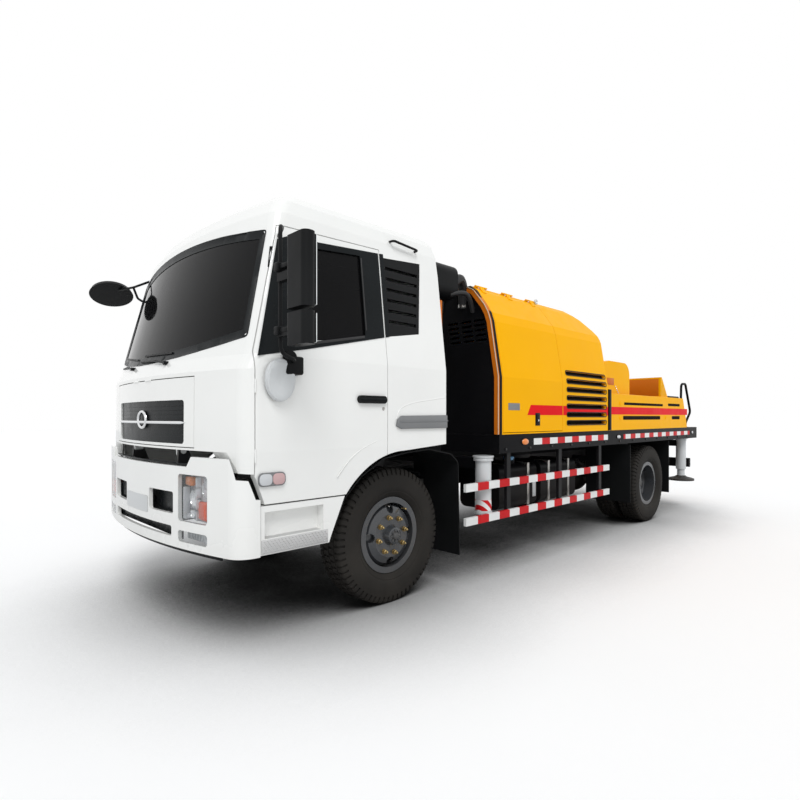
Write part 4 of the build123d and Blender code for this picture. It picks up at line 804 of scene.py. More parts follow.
# %% [markdown]
# ## The nose
# Eight thin slats cross the black grille, with a bright bar between them and a plain oval ring on the bar.
# All of them follow the same gentle bow, so the bars are drawn as lines along that bow, raised into bands
# and thickened. The bright bar's ends are pinched.

# %% Bars that follow the bow of the nose
NOSE_BOW = 4.3
BOW_STEPS = 24


def bow(across, front):
    """How far back the nose lies at a place across it."""
    return front + across * across / (2 * NOSE_BOW)


def bow_band(reach, front, low, high, thick, edge):
    """An upright band along the bow between two heights."""
    row = [-reach + 2 * reach * number / BOW_STEPS for number in range(BOW_STEPS + 1)]
    piece = trace([(across, bow(across, front), low) for across in row])
    draw_out(piece, (0, 0, high - low))
    finish_with(piece, "SOLIDIFY", thickness=thick, offset=0.0)
    return eased(piece, edge)


GRILLE_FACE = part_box("grille")[0].y
slats = []
for back, low, tall, pitch, thick in ((0.006, 1.405, 0.006, 0.028, 0.016),
                                      (0.007, 1.262, 0.005, 0.026, 0.014)):
    for number in range(4):
        foot = low + pitch * number
        slats.append(bow_band(0.622, GRILLE_FACE + back, foot, foot + tall, thick, 0.002))
settle(joined(slats), "grille_slats", gloss_black, "hatch")
bright_bar = bow_band(0.650, GRILLE_FACE - 0.008, 1.372, 1.392, 0.014, 0.005)
edit(bright_bar)
bpy.ops.mesh.select_all(action="DESELECT")
ends = bmesh.from_edit_mesh(bright_bar.data)
for vertex in ends.verts:
    vertex.select_set(abs(vertex.co.x) > 0.640)
bmesh.update_edit_mesh(bright_bar.data)
bpy.ops.transform.resize(value=(1, 1, 0.25), center_override=(0, GRILLE_FACE, 1.382))
leave()
settle(bright_bar, "grille_bright_bar", chrome, "hatch")

RING_STEPS = 12
turns = [2 * pi * number / RING_STEPS for number in range(RING_STEPS + 1)]
ring_section = [(0.009 * sin(turn), 0.062 + 0.011 * cos(turn)) for turn in turns]
ring = turned(ring_section, (0, GRILLE_FACE - 0.010, 1.400), "-Y", 48)
stretch(ring, (1.25, 1, 0.92), (0, GRILLE_FACE - 0.010, 1.400))
settle(ring, "grille_ring", chrome, "hatch")
boss = turned([(-0.012, 0.0), (-0.012, 0.058), (-0.002, 0.055), (0.003, 0.04), (0.004, 0.0)],
              (0, GRILLE_FACE - 0.006, 1.400), "-Y", 48)
settle(boss, "grille_boss", gloss_black, "hatch")
print("nose bars", len(slats) + 2)

# %% [markdown]
# ## Headlamps and fog lamps
# A headlamp is a box with three bright bowls, each with its bulb, an amber lamp above and a
# red-orange strip beside them, with facets between, all under a clear cover that follows the bumper. The box
# and the facets are a pale, barely metallic silver: a painted reflection of a silvered reflector, and the
# two left facets stand as painted light over the box's shaded inner wall. The fog lamp below has upright
# ribs. The engineering model has one plain block there, so these pieces replace it. The covers are laid on it.

# %% Lamps, modelled on the left and mirrored
FACING = 0.95
clear_cover = tinted_glass("clear_lamp_cover", (0.93, 0.95, 0.96), 0.96)
lamp_skin = skin_of("front_lamps")


def rounded(low_a, high_a, low_b, high_b, radius, steps=4):
    """Outline points of a rectangle with rounded corners."""
    points = []
    corners = ((high_a - radius, high_b - radius, 0), (low_a + radius, high_b - radius, 1),
               (low_a + radius, low_b + radius, 2), (high_a - radius, low_b + radius, 3))
    for centre_a, centre_b, quarter in corners:
        for number in range(steps + 1):
            angle = (quarter + number / steps) * pi / 2
            points.append((centre_a + radius * cos(angle), centre_b + radius * sin(angle)))
    return points


def bowl(centre, radius, depth):
    """A reflector open to the front with a bulb in it."""
    dish = [(0.0, radius), (-0.35 * depth, 0.86 * radius), (-0.7 * depth, 0.55 * radius),
            (-depth, 0.16 * radius), (-depth, 0.0)]
    bulb = [(-depth, 0.0), (-depth, 0.008), (-0.45 * depth, 0.010), (-0.3 * depth, 0.006), (-0.3 * depth, 0.0)]
    return joined([turned(dish, centre, "-Y", 32), turned(bulb, centre, "-Y", 12)])


covers, boxes = [], []
for low, high in ((0.766, 1.059), (0.637, 0.705)):
    cover = sheet(front_points(rounded(0.629, 0.929, low, high, 0.022)), 0.05)
    covers.append(lay(cover, lamp_skin, "Y", lift=0.0005, thick=0.003))
    back = block((0.629, -4.075, low), (0.929, -4.040, high), 0.012, 3)
    boxes.append(inset_faces(back, lambda normal: normal.y < -FACING, 0.008, -0.012))
bowls = [bowl((0.712, -4.085, 0.905), 0.058, 0.045), bowl((0.850, -4.066, 0.975), 0.060, 0.040),
         bowl((0.700, -4.088, 0.812), 0.036, 0.030)]
ambers = [block((0.645, -4.115, 0.985), (0.735, -4.078, 1.045), 0.012, 3)]
strips = [block((0.800, -4.100, 0.784), (0.914, -4.060, 0.900), 0.016, 3)]
ribs = [block((0.640 + 0.031 * n, -4.098 + 0.0042 * n, 0.645),
              (0.660 + 0.031 * n, -4.070 + 0.0042 * n, 0.697), 0.007, 3) for n in range(9)]
facets = [block((0.634 + 0.020 * n, -4.124 + 0.002 * n, 0.774),
                (0.651 + 0.020 * n, -4.080, 0.976 - 0.17 * n), 0.006) for n in range(2)]
facets += [block((0.775, -4.104, 0.774 + 0.070 * n),
                 (0.793, -4.070, 0.834 + 0.070 * n), 0.006) for n in range(4)]
# Pale, barely metallic silver: painted reflection for the lamp boxes and facets.
silver_painted_reflection = finish("silver_painted_reflection", (0.74, 0.76, 0.79), 0.28, metal=0.15, coat=0.5, fade=0.08, grain=60.0,
                     bump=0.3)
for pieces, name, material in (
        (covers, "lamp_covers", clear_cover), (boxes, "lamp_boxes", silver_painted_reflection),
        (facets, "lamp_facets", silver_painted_reflection), (bowls, "lamp_bowls", chrome), (ambers, "lamp_ambers", amber),
        (strips, "lamp_red_strips", sunset_lens), (ribs, "fog_lamp_ribs", clear_lens)):
    left = joined(pieces)
    piece = joined([left, mirrored(left)])
    settle(piece, name, material)
    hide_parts("front_lamps")
bpy.data.objects.remove(lamp_skin)
print("lamps done")

# %% [markdown]
# ## The windscreen's black border
# The windscreen is glued in, and a printed black border hides the glue. It is a flat face cut to the glass's
# outline, inset to a ring, sliced finely and pushed straight back onto the glass and the cab around it.

# %% Border, wipers and the mark on the pillar
ARC_STEPS = 10


def arc_row(first, middle, last):
    """Points on a parabola through three places."""
    row = []
    for number in range(ARC_STEPS + 1):
        part = number / ARC_STEPS
        weights = ((1 - part) * (1 - 2 * part), 4 * part * (1 - part), part * (2 * part - 1))
        row.append(tuple(sum(w * p[i] for w, p in zip(weights, (first, middle, last))) for i in (0, 1)))
    return row


def softened(points, reach, steps=2):
    """The outline with each corner turned into a short curve of a few steps."""
    made = []
    for number, corner in enumerate(points):
        before, after = points[number - 1], points[(number + 1) % len(points)]
        ends = []
        for other in (before, after):
            length = hypot(other[0] - corner[0], other[1] - corner[1])
            part = min(reach / length, 0.45)
            ends.append((corner[0] + (other[0] - corner[0]) * part, corner[1] + (other[1] - corner[1]) * part))
        for step in range(steps + 1):
            t = step / steps
            shares = (((1 - t) ** 2, ends[0]), (2 * t * (1 - t), corner), (t * t, ends[1]))
            made.append(tuple(sum(share * point[i] for share, point in shares) for i in (0, 1)))
    return made


glass_outline = arc_row((-1.128, 1.897), (0, 1.797), (1.128, 1.897))
glass_outline += arc_row((1.063, 2.588), (0, 2.653), (-1.063, 2.588))

nose_skin = skin_of("cab_shell", "cab_glass")
border = ring_sheet(front_points(softened(glass_outline, 0.02)), 0.058)
lay(border, nose_skin, "Y", lift=0.001, thick=0.003)
settle(border, "windscreen_border", gloss_black, "cab")
print("border faces", len(border.data.polygons))

blades = []
for first, last in (((-0.30, 1.845), (-0.86, 1.905)), ((0.36, 1.845), (-0.14, 1.862))):
    blade = sheet(front_points([first, last, (last[0], last[1] + 0.012), (first[0], first[1] + 0.012)]), 0.05)
    blades.append(lay(blade, nose_skin, "Y", lift=0.004, thick=0.008))
settle(joined(blades), "wiper_blades", black_plastic, "cab")

pillar_mark = sheet(front_points([(1.148, 2.20), (1.156, 2.20), (1.118, 2.47), (1.110, 2.47)]), 0.05)
settle(lay(pillar_mark, nose_skin, "Y", lift=0.001, thick=0.004), "pillar_mark", black_plastic, "cab")
bpy.data.objects.remove(nose_skin)
print("front glass dressed")

# %% [markdown]
# ## Doors
# Round the side windows everything is black: a triangular sail ahead of the glass, the frame, and a grooved
# panel behind it. These are thin sheets on the doors. The cab's side leans in above the belt, so a plain skin
# with that lean is drawn once, and the sheets are pushed onto it. Both doors get the same pieces.

# %% Window surrounds, handles, keyholes and side lamps
SIDE_SPACING = 0.2
LEAN = ((1.212, 0.86), (1.212, 1.79), (1.125, 2.56), (1.103, 2.71))
side_skin = trace([(x, -4.25, height) for x, height in LEAN])
edit(side_skin)
bpy.ops.mesh.extrude_region_move(TRANSFORM_OT_translate={"value": (0, 2.1, 0)})
leave()

SURROUND = (
    [(-1.222, 1.777), (-0.860, 1.848), (-0.860, 2.560), (-0.975, 2.552), (-1.043, 2.518)],
    [(-0.860, 1.848), (-0.200, 1.990), (-0.200, 2.024), (-0.380, 1.986), (-0.860, 1.892)],
    [(-0.860, 2.514), (-0.380, 2.556), (-0.200, 2.572), (-0.200, 2.612), (-0.860, 2.560)],
    [(-0.380, 1.986), (-0.200, 2.024), (-0.200, 2.572), (-0.380, 2.556)],
)


def on_side(outline, thick=0.003, lift=0.001, edge=0.0):
    """A sheet of an outline laid on the cab's side."""
    return lay(sheet(side_points(outline), SIDE_SPACING), side_skin, "X", lift, thick, edge)


both_sides(joined([on_side(part) for part in SURROUND]), "window_surround", gloss_black, "door")
GROOVES = (
    [(-0.378, 2.02), (-0.366, 2.022), (-0.366, 2.54), (-0.378, 2.539)],
    [(-0.86, 1.872), (-0.39, 1.966), (-0.39, 1.984), (-0.86, 1.890)],
)
grooves = joined([on_side(part, 0.006, 0.003, 0.002) for part in GROOVES])
both_sides(grooves, "window_rubber", rubber_hose, "door")
quarter_edge = on_side([(-0.186, 1.993), (-0.150, 2.000), (-0.150, 2.618), (-0.186, 2.613)])
both_sides(quarter_edge, "quarter_edge", gloss_black, "cab")

grip = block(at(1.214, -0.452, 1.531), at(1.238, -0.212, 1.551), 0.008, 3)
both_sides(grip, "door_grip", gloss_black, "door")
keyhole = turned([(-0.002, 0.0), (-0.002, 0.013), (0.002, 0.013), (0.003, 0.010), (0.001, 0.008), (0.001, 0.0)],
                 at(1.212, -0.228, 1.477), "+X", 24)
both_sides(keyhole, "door_lock", bare_steel, "door")
print("doors dressed")

# %% Side lamps, moulded strips, creases and marker lamps
lamp_seat = on_side(rounded(-1.220, -1.034, 1.006, 1.088, 0.030), 0.006, 0.0, 0.002)
both_sides(lamp_seat, "side_lamp_seat", grey_trim, "door")
for front, back, name, material in ((-1.212, -1.128, "side_lamp_clear", clear_lens),
                                    (-1.124, -1.042, "side_lamp_rose", rose_lens)):
    lens = on_side(rounded(front, back, 1.013, 1.081, 0.026), 0.008, 0.004, 0.003)
    both_sides(lens, name, material, "door")

strip = on_side([(-0.110, 1.352), (-0.060, 1.330), (0.450, 1.330), (0.450, 1.434), (-0.060, 1.428),
                 (-0.100, 1.400)], 0.020, 0.0, 0.008)
step_line = on_side([(-0.080, 1.382), (0.450, 1.384), (0.450, 1.392), (-0.080, 1.390)], 0.004, 0.020)
both_sides(joined([strip, step_line]), "moulded_strip", grey_trim, "cab")
REAR_CREASE = ((-0.100, 1.405), (-0.075, 1.470), (0.0, 1.510), (0.150, 1.540), (0.446, 1.574))
ARCH_CREASE = ((-0.640, 1.02), (-0.560, 1.115), (-0.440, 1.195), (-0.330, 1.235), (-0.290, 1.250))
crease = pipe(side_points(REAR_CREASE, 1.211), 0.0035)
arch_crease = pipe(side_points(ARCH_CREASE, 1.211), 0.003)
both_sides(crease, "rear_crease", white_paint, "cab")
both_sides(arch_crease, "arch_crease", white_paint, "door")

marker = block(at(0.775, -0.875, 2.880), at(0.845, -0.800, 2.905), 0.011, 3)
both_sides(marker, "roof_marker", clear_lens, "cab")
bpy.data.objects.remove(side_skin)
print("cab sides dressed")

# %% [markdown]
# ## Mirrors
# The tall mirrors stand on the left door. Each head is a dark shell with mirror glass on the side that looks
# backwards, held to its tube by clamps. A teardrop shell hangs below the mirrors' foot: a kerb mirror painted
# pale as a painted reflection of the bright surroundings in its glass.

# %% Mirror glasses, clamps and the kerb mirror
MIRROR_HEIGHTS = ((1.822, 1.982), (2.025, 2.410))
glass_tiles = [block((1.468, -3.810, low), (1.643, -3.803, high)) for low, high in MIRROR_HEIGHTS]
mirror_face = finish("silvered_glass", (0.80, 0.82, 0.83), 0.03, metal=1.0, fade=0.02, grain=30.0, bump=0.01)
settle(joined(glass_tiles), "mirror_glass_left", mirror_face, "left_door")
CLAMP_HEIGHTS = (2.250, 1.885)
clamps = [block((1.325, -3.885, foot), (1.372, -3.812, foot + 0.052), 0.008, 3) for foot in CLAMP_HEIGHTS]
clamps += [block((1.365, -3.872, foot + 0.012), (1.460, -3.832, foot + 0.040), 0.006)
           for foot in CLAMP_HEIGHTS]
settle(joined(clamps), "mirror_clamps_left", black_plastic, "left_door")
mirror_foot = block((1.196, -3.752, 1.676), (1.262, -3.630, 1.788), 0.014, 3)
settle(mirror_foot, "mirror_foot_left", black_plastic, "left_door")

KERB_MIRROR = (1.228, -3.785, 1.640)
drop = turned([(0.0, 0.0), (0.010, 0.030), (0.024, 0.075), (0.030, 0.098), (0.026, 0.112), (0.012, 0.118),
               (0.0, 0.116)], KERB_MIRROR, "+X", 40)
stretch(drop, (1, 0.86, 1.10), KERB_MIRROR)
settle(drop, "kerb_mirror_painted_reflection_left", jack_white, "left_door")
print("mirrors dressed")

# %% [markdown]
# ## Steps
# Below each door lies a plain tread with a chequered edge plate. The raised checks are one small lozenge,
# modelled once and copied in a staggered pattern.

# %% Tread and edge plate under each door
CHECK_ROWS, CHECKS_IN_ROW = 5, 19
CHECK_PITCH, ROW_PITCH = 0.0245, 0.016
both_sides(block((1.030, -3.860, 0.676), (1.186, -3.442, 0.690)), "step_tread", aluminium)
edge_plate = block((1.1895, -3.884, 0.600), (1.194, -3.400, 0.686), 0.002)
check = block((1.192, -3.876, 0.6085), (1.198, -3.858, 0.6135), 0.002, 1)
edit(check)
bpy.ops.transform.rotate(value=radians(40), orient_axis="X", center_override=(1.195, -3.867, 0.611))
leave()
places = [(0, CHECK_PITCH * number + (0.012 if row % 2 else 0.0), ROW_PITCH * row)
          for row in range(CHECK_ROWS) for number in range(CHECKS_IN_ROW)]
both_sides(joined([edge_plate, repeated(check, places)]), "step_edge", aluminium)
print("steps", 2 * len(places))

# %% [markdown]
# ## The red band
# A red band runs along the yellow housing, from a slanted start on the hood door to the end of the side
# board. Where the housing has louvres the band lies only on the bar between two slots. It is one thin plate
# for each panel, so it swings with the hood door. The door also has a blank label plate and a latch.

# %% Band, label plate and latch
BAND_LOW, BAND_HIGH = 1.437, 1.535
SLOT_HEIGHTS = [1.885 - 0.088 * row for row in range(7)]
HOUSING_SIDE = 1.235
PLATE_GAP = 0.0004


def side_plate(outline, thick=0.0012, flank=HOUSING_SIDE, edge=0.0):
    """A flat plate on an upright flank."""
    return draw_out(trace(side_points(outline, flank + PLATE_GAP), filled=True), (thick, 0, 0), edge)


def upright(low_along, high_along, low, high):
    """The outline of an upright rectangle."""
    return [(low_along, low), (high_along, low), (high_along, high), (low_along, high)]


door_band = side_plate([(1.600, BAND_LOW), (2.2625, BAND_LOW), (2.2625, BAND_HIGH), (1.660, BAND_HIGH)])
both_sides(door_band, "red_band_hood", red_paint, "hood_door")
body_bands = [side_plate(upright(2.277, 2.350, BAND_LOW, BAND_HIGH)),
              side_plate(upright(3.275, 3.318, BAND_LOW, BAND_HIGH)),
              side_plate(upright(2.350, 3.275, SLOT_HEIGHTS[5] + 0.020, SLOT_HEIGHTS[4] - 0.020))]
both_sides(joined(body_bands), "red_band_body", red_paint)
both_sides(side_plate(upright(3.402, 6.046, 1.449, 1.541)), "red_band_board", red_paint)

for name, material, corners, thick, edge in (
        ("blank_plate", grey_trim, (1.286, 1.470, 1.482, 1.546), 0.002, 0.0),
        ("latch_seat", black_plastic, (1.740, 1.822, 1.335, 1.458), 0.004, 0.001),
        ("latch_paddle", gloss_black, (1.752, 1.810, 1.362, 1.440), 0.010, 0.003)):
    both_sides(side_plate(upright(*corners), thick, edge=edge), name, material, "hood_door")
latch_key = turned([(0.0, 0.0), (0.0, 0.010), (0.004, 0.010), (0.005, 0.006), (0.005, 0.0)],
                   at(HOUSING_SIDE + 0.010, 1.781, 1.385), "+X", 20)
both_sides(latch_key, "latch_key", chrome, "hood_door")
print("housing band done")

# %% [markdown]
# ## The housing's front edge
# Between the black front panel and the yellow flank a flange turns inwards. Its yellow paint faces forward
# in shadow, so it is painted dark orange as painted shade. A pale line runs along its edge. It follows the
# housing's outline, so that outline is traced once and drawn back.

# %% Front flange and its edge line
LEFT_HALF = [(1.232, 1.262), (1.232, 1.780), (1.1475, 2.290), (1.118, 2.375), (1.075, 2.450), (0.950, 2.602),
             (0.880, 2.637), (0.780, 2.648)]
OUTLINE = LEFT_HALF + [(0.0, 2.648)] + [(-across, height) for across, height in LEFT_HALF[::-1]]
FLANGE_FRONT = 1.136

flange_line = [at(across, FLANGE_FRONT, height) for across, height in OUTLINE]
flange = draw_out(trace(flange_line), (0, 0.052, 0))
flip_if(flange, Vector((0, 0, 1)))
settle(finish_with(flange, "SOLIDIFY", thickness=0.045, offset=-1.0), "front_flange", orange_paint_and_painted_shade)
# A pale line along the flange's edge.
settle(pipe(flange_line, 0.004, order=2), "flange_edge", pale_edge)
print("flange done")

# %% [markdown]
# ## Along the deck
# The deck's edge carries strips of red and white tape, a small amber lamp, and pale lamps at the ends of the
# strips. The tape is one thin plate per strip with the banded finish.

# %% Tape, lamps and bolts on the deck's edge
DECK_SIDE = 1.233
TAPE_START, TAPE_PITCH = 1.716, 0.150
OVAL = 0.060
tape_front = side_plate(upright(TAPE_START, 3.322, 1.150, 1.212), 0.001, DECK_SIDE)
tape_rear = side_plate(upright(3.760, 6.160, 1.148, 1.206), 0.001, DECK_SIDE)
tape_bands = banded("tape_bands", TAPE_PITCH, TAPE_START + AXLE_Y)
both_sides(joined([tape_front, tape_rear]), "deck_tape", tape_bands)


def oval_lamp(along, height, wide, tall, name, material):
    """An oval lens on a black seat."""
    place = at(DECK_SIDE, along, height)
    seat = turned([(0.0, 0.0), (0.0, 0.030), (0.005, 0.030), (0.006, 0.026), (0.006, 0.0)], place, "+X", 28)
    lens = turned([(0.005, 0.0), (0.005, 0.025), (0.011, 0.023), (0.016, 0.014), (0.017, 0.0)], place, "+X", 28)
    for piece in (seat, lens):
        stretch(piece, (1, wide / OVAL, tall / OVAL), place)
    both_sides(seat, name + "_seat", black_plastic)
    both_sides(lens, name, material)


oval_lamp(1.560, 1.185, 0.130, 0.070, "amber_side_lamp", amber)
oval_lamp(3.610, 1.178, 0.110, 0.050, "pale_side_lamp", clear_lens)
oval_lamp(6.270, 1.180, 0.060, 0.050, "end_side_lamp", clear_lens)
bolt = turned([(-0.001, 0.0), (-0.001, 0.013), (0.008, 0.013), (0.010, 0.010), (0.010, 0.0)],
              at(DECK_SIDE, 1.250, 1.125), "+X", 6)
both_sides(repeated(bolt, [(0, 0.40 * number, 0) for number in range(13)]), "deck_bolts", chassis_paint)
print("deck edge done")

# %% [markdown]
# ## Side boards
# The boards beside the pumping unit have long slots, seen as dark gaps through the yellow, with a rolled top
# edge. The slots are thin black plates of painted shade, standing for the shadow inside the gaps, and the
# round bosses at their ends are turned.

# %% Slots, rolled edge and bosses
# Near-black painted shade, laid where holes and gaps lie in shadow.
painted_shade_black = finish("painted_shade_black", (0.006, 0.005, 0.004), 0.8, fade=0.3, bump=0.1, shine=0.1)
BOARD_SLOTS = ((3.77, 5.05, 1.568, 1.600), (5.25, 5.72, 1.575, 1.612), (3.74, 4.95, 1.384, 1.432),
               (5.40, 5.72, 1.384, 1.432))
gaps = [side_plate(rounded(*corners, 0.014, 3), 0.0008) for corners in BOARD_SLOTS]
both_sides(joined(gaps), "board_slots_painted_shade", painted_shade_black)
roll = pipe(side_points([(3.41, 1.690), (4.6, 1.690), (5.86, 1.690)], 1.226), 0.010)
both_sides(roll, "board_roll", yellow_paint)
boss_section = [(0.0, 0.0), (0.0, 0.026), (0.006, 0.024), (0.007, 0.016), (0.004, 0.012), (0.004, 0.0)]
bosses = [turned(boss_section, at(HOUSING_SIDE, along, height), "+X", 24)
          for along, height in ((3.66, 1.585), (3.66, 1.410), (5.15, 1.410))]
both_sides(joined(bosses), "board_bosses", yellow_paint)
print("side boards done")

# %% [markdown]
# ## Jacks
# Each jack's outer tube wears a collar near its top and a ring at its foot end, with a hatched warning band
# of plain red and white above that ring.

# %% Collars and hatched bands
hatch_bands = banded("hatch_bands", 0.045, 0.0, slant=1.0)
COLLAR = ((-0.03, 0.001), (-0.03, 0.016), (-0.012, 0.018), (-0.002, 0.012), (-0.002, 0.001), (-0.03, 0.001))
FOOT_RING = ((0.0, 0.0005), (0.0, 0.010), (0.02, 0.010), (0.024, 0.0005), (0.0, 0.0005))
WARNING = ((0.030, 0.0004), (0.030, 0.0014), (0.125, 0.0014), (0.125, 0.0004), (0.030, 0.0004))


def sleeve(section, height, size, place):
    """A section of (up, out) points turned round a tube at a height."""
    return turned([(height + up, size + out) for up, out in section], place, "+Z", 40)


for end, along, across, low, high, size in (("front", 1.050, 1.130, 0.560, 1.060, 0.072),
                                            ("rear", 6.250, 1.080, 0.600, 1.070, 0.060)):
    place = at(across, along, 0.0)
    rings = [sleeve(COLLAR, high, size, place), sleeve(FOOT_RING, low, size, place)]
    both_sides(joined(rings), "jack_rings_" + end, jack_white)
    both_sides(sleeve(WARNING, low, size, place), "jack_hatching_" + end, hatch_bands)
print("jacks done")

# %% [markdown]
# ## Behind the cab
# In the gap between the cab and the housing stands a column, held by arms from the air intake's post; its
# yellow is painted dark orange as painted shade. Fat black hoses run from the intake's head over to the
# housing. They are held at both ends, so they are fixed bars, drawn as wires.

# %% Column, arms, hoses and their clamps
# The column's dark orange is painted shade on yellow.
column = block((0.985, -2.215, 1.270), (1.060, -2.120, 2.400), 0.006)
settle(column, "gap_column", orange_paint_and_painted_shade)
arms = [block((0.690, -2.190, height), (across, along, height + 0.040), 0.004)
        for across, along in ((1.000, -2.150), (0.730, -1.990)) for height in (1.420, 2.260)]
settle(joined(arms), "gap_column_arms", black_plastic)
HOSES = (
    (0.045, (0.86, -1.80, 2.60), (0.88, -1.70, 2.70), (0.86, -1.62, 2.69), (0.82, -1.55, 2.60), (0.80, -1.53, 2.45)),
    (0.040, (0.70, -1.78, 2.60), (0.68, -1.68, 2.74), (0.62, -1.60, 2.73), (0.55, -1.55, 2.60), (0.52, -1.53, 2.45)),
    (0.022, (0.90, -1.84, 2.52), (0.95, -1.72, 2.56), (0.96, -1.62, 2.52), (0.93, -1.54, 2.40)),
)
settle(joined([pipe(line, radius) for radius, *line in HOSES]), "gap_hoses", rubber_hose)


def collar(half, low, high, place, way):
    """A plain ring round a hose."""
    return turned([(-half, low), (-half, high), (half, high), (half, low), (-half, low)], place, way, 32)


settle(collar(0.014, 0.0455, 0.049, (0.80, -1.530, 2.470), "+Z"), "hose_clamp", bare_steel)
settle(collar(0.020, 0.040, 0.052, (0.86, -1.775, 2.585), "+Y"), "hose_sleeve", red_paint)
print("hoses", len(HOSES))

# %% [markdown]
# ## The post and the tank
# A black cover wraps the post at the end of the side board. The hydraulic tank has a small orange hatch, a
# chain, a breather and a bolted lid. The side tanks get straps, a blue fuel cap and a blank plate.

# %% Post covers and tank fittings
post = block((1.183, 0.631, 1.262), (1.2455, 0.697, 1.745), 0.004, 2)
both_sides(post, "post_cover", black_paint)
hatch = block((1.128, 0.800, 1.815), (1.136, 1.010, 1.900), 0.004, 2)
both_sides(hatch, "tank_hatch", orange_paint_and_painted_shade)
link_section = [(-0.004, 0.006), (0.0, 0.010), (0.004, 0.006), (0.0, 0.003), (-0.004, 0.006)]
links = [turned(link_section, (1.134, 1.060 + 0.022 * number, 1.800 - 0.024 * number), "+X", 14)
         for number in range(7)]
both_sides(joined(links), "tank_chain", chrome)
cap = turned([(-0.005, 0.0), (-0.005, 0.070), (0.012, 0.070), (0.018, 0.060), (0.030, 0.058), (0.034, 0.050),
              (0.034, 0.0)], (0.62, 1.10, 2.110), "+Z", 36)
settle(cap, "tank_breather", black_plastic)
lid = block((-0.50, 0.86, 2.108), (0.30, 1.34, 2.118), 0.004, 2)
settle(lid, "tank_lid", yellow_paint)
lid_bolt = turned([(0.0, 0.0), (0.0, 0.011), (0.007, 0.011), (0.009, 0.008), (0.009, 0.0)],
                  (-0.47, 0.89, 2.117), "+Z", 6)
lid_places = [(0.148 * number, 0.42 * row, 0) for number in range(6) for row in range(2)]
settle(repeated(lid_bolt, lid_places), "tank_lid_bolts", bare_steel)

straps = []
for along in (-1.12, -0.78, -0.38, 0.04):
    strap = block((0.548, along - 0.020, 0.530), (1.0455, along + 0.020, 0.956), 0.006)
    straps.append(inset_faces(strap, lambda normal: abs(normal.y) > FACING, 0.004))
both_sides(joined(straps), "tank_straps", bare_steel)
filler = turned([(-0.03, 0.0), (-0.03, 0.045), (0.010, 0.045), (0.012, 0.055), (0.040, 0.055), (0.046, 0.048),
                 (0.046, 0.0)], (0.92, -0.95, 0.975), "+Z", 36)
settle(filler, "fuel_cap", pale_blue)
plate_small = block((1.0395, -0.70, 0.60), (1.0440, -0.64, 0.80), 0.001, 1)
settle(plate_small, "tank_plate", jack_white)

# %% [markdown]
# ## The rear
# The lamp clusters sit in dark boxes with three lenses each, and an amber marker beside them. Blank plates
# stand where the number plates go, at the back and on the front bumper.

# %% Rear lamps and plate blanks
for low, high, material, name in ((0.706, 0.782, clear_lens, "rear_clear_lamp"),
                                  (0.786, 0.862, red_lens, "rear_red_lamp"),
                                  (0.866, 0.939, amber, "rear_amber_lamp")):
    cell = block((low, 3.832, 0.643), (high, 3.842, 0.740), 0.006, 3)
    both_sides(inset_faces(cell, lambda normal: normal.y > FACING, 0.006, 0.002), name, material)
lamp_boxes = [block((low, 3.7995, 0.633), (high, 3.8345, 0.750), 0.004)
              for low, high in ((0.698, 0.947), (1.043, 1.132))]
both_sides(joined(lamp_boxes), "rear_lamp_boxes", black_plastic)
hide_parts("rear_lamps")
marker_rear = block((1.050, 3.832, 0.645), (1.125, 3.842, 0.738), 0.010, 3)
both_sides(marker_rear, "rear_marker", amber)
plate_rear = block((-0.22, 3.799, 0.70), (0.22, 3.803, 0.84))
settle(plate_rear, "rear_plate_blank", white_paint)
plate_front = sheet(front_points(rounded(-0.210, 0.210, 0.770, 0.880, 0.010)), 0.02)
bumper_skin = skin_of("front_bumper")
settle(lay(plate_front, bumper_skin, "Y", lift=0.001, thick=0.002), "front_plate_blank", jack_white)
bpy.data.objects.remove(bumper_skin)
print("rear dressed")

# %% [markdown]
# ## Seats
# Each seat has a moulded shell below, a cushion and a tall back. The pads are rounded blocks that are
# remeshed into even squares and blown up a little by a cloth simulation, capped so that they keep their
# shape, then pressed in along their sewn channels. One seat is made, and copied to the other side. The
# steering wheel's rim is a thick wire round the plain one.

# %% Padded seats and the steering wheel's rim
PAD_SQUARE, PAD_CAP = 0.008, 0.010
PAD_PRESSURE, PAD_FRAMES = 4.0, 20
CHANNEL_DEPTH, CHANNEL_WIDTH = 0.007, 0.007
SEAT_SPAN = (0.391, 0.889)


def padding(piece, cap=PAD_CAP):
    """Swell a rounded block as a stuffed cloth cover; no point moves further than the cap."""
    finish_with(piece, "REMESH", mode="VOXEL", voxel_size=PAD_SQUARE)
    before = [point.co.copy() for point in piece.data.vertices]
    pick(piece)
    cloth = piece.modifiers.new("cloth", "CLOTH")
    cloth.settings.use_pressure = True
    cloth.settings.uniform_pressure_force = PAD_PRESSURE
    cloth.settings.effector_weights.gravity = 0.0
    for moment in range(1, PAD_FRAMES + 1):
        bpy.context.scene.frame_set(moment)
    bpy.ops.object.modifier_apply(modifier=cloth.name)
    bpy.context.scene.frame_set(1)
    for point, start in zip(piece.data.vertices, before):
        step = point.co - start
        if step.length > cap:
            point.co = start + step * (cap / step.length)
    return piece


def channels(piece, places, axis, facing):
    """Press sewn channels into a pad: points near each place on one axis sink against the facing side."""
    facing = Vector(facing).normalized()
    for point in piece.data.vertices:
        if point.normal.dot(facing) > 0.3:
            sink = max(exp(-((point.co[axis] - place) / CHANNEL_WIDTH) ** 2) for place in places)
            point.co -= facing * CHANNEL_DEPTH * sink
    return piece


def slab(outline):
    """A side outline given as (along, height), drawn out across one seat and eased."""
    low, high = SEAT_SPAN
    return draw_out(trace(side_points(outline, low), filled=True), (high - low, 0, 0), 0.022, 3)


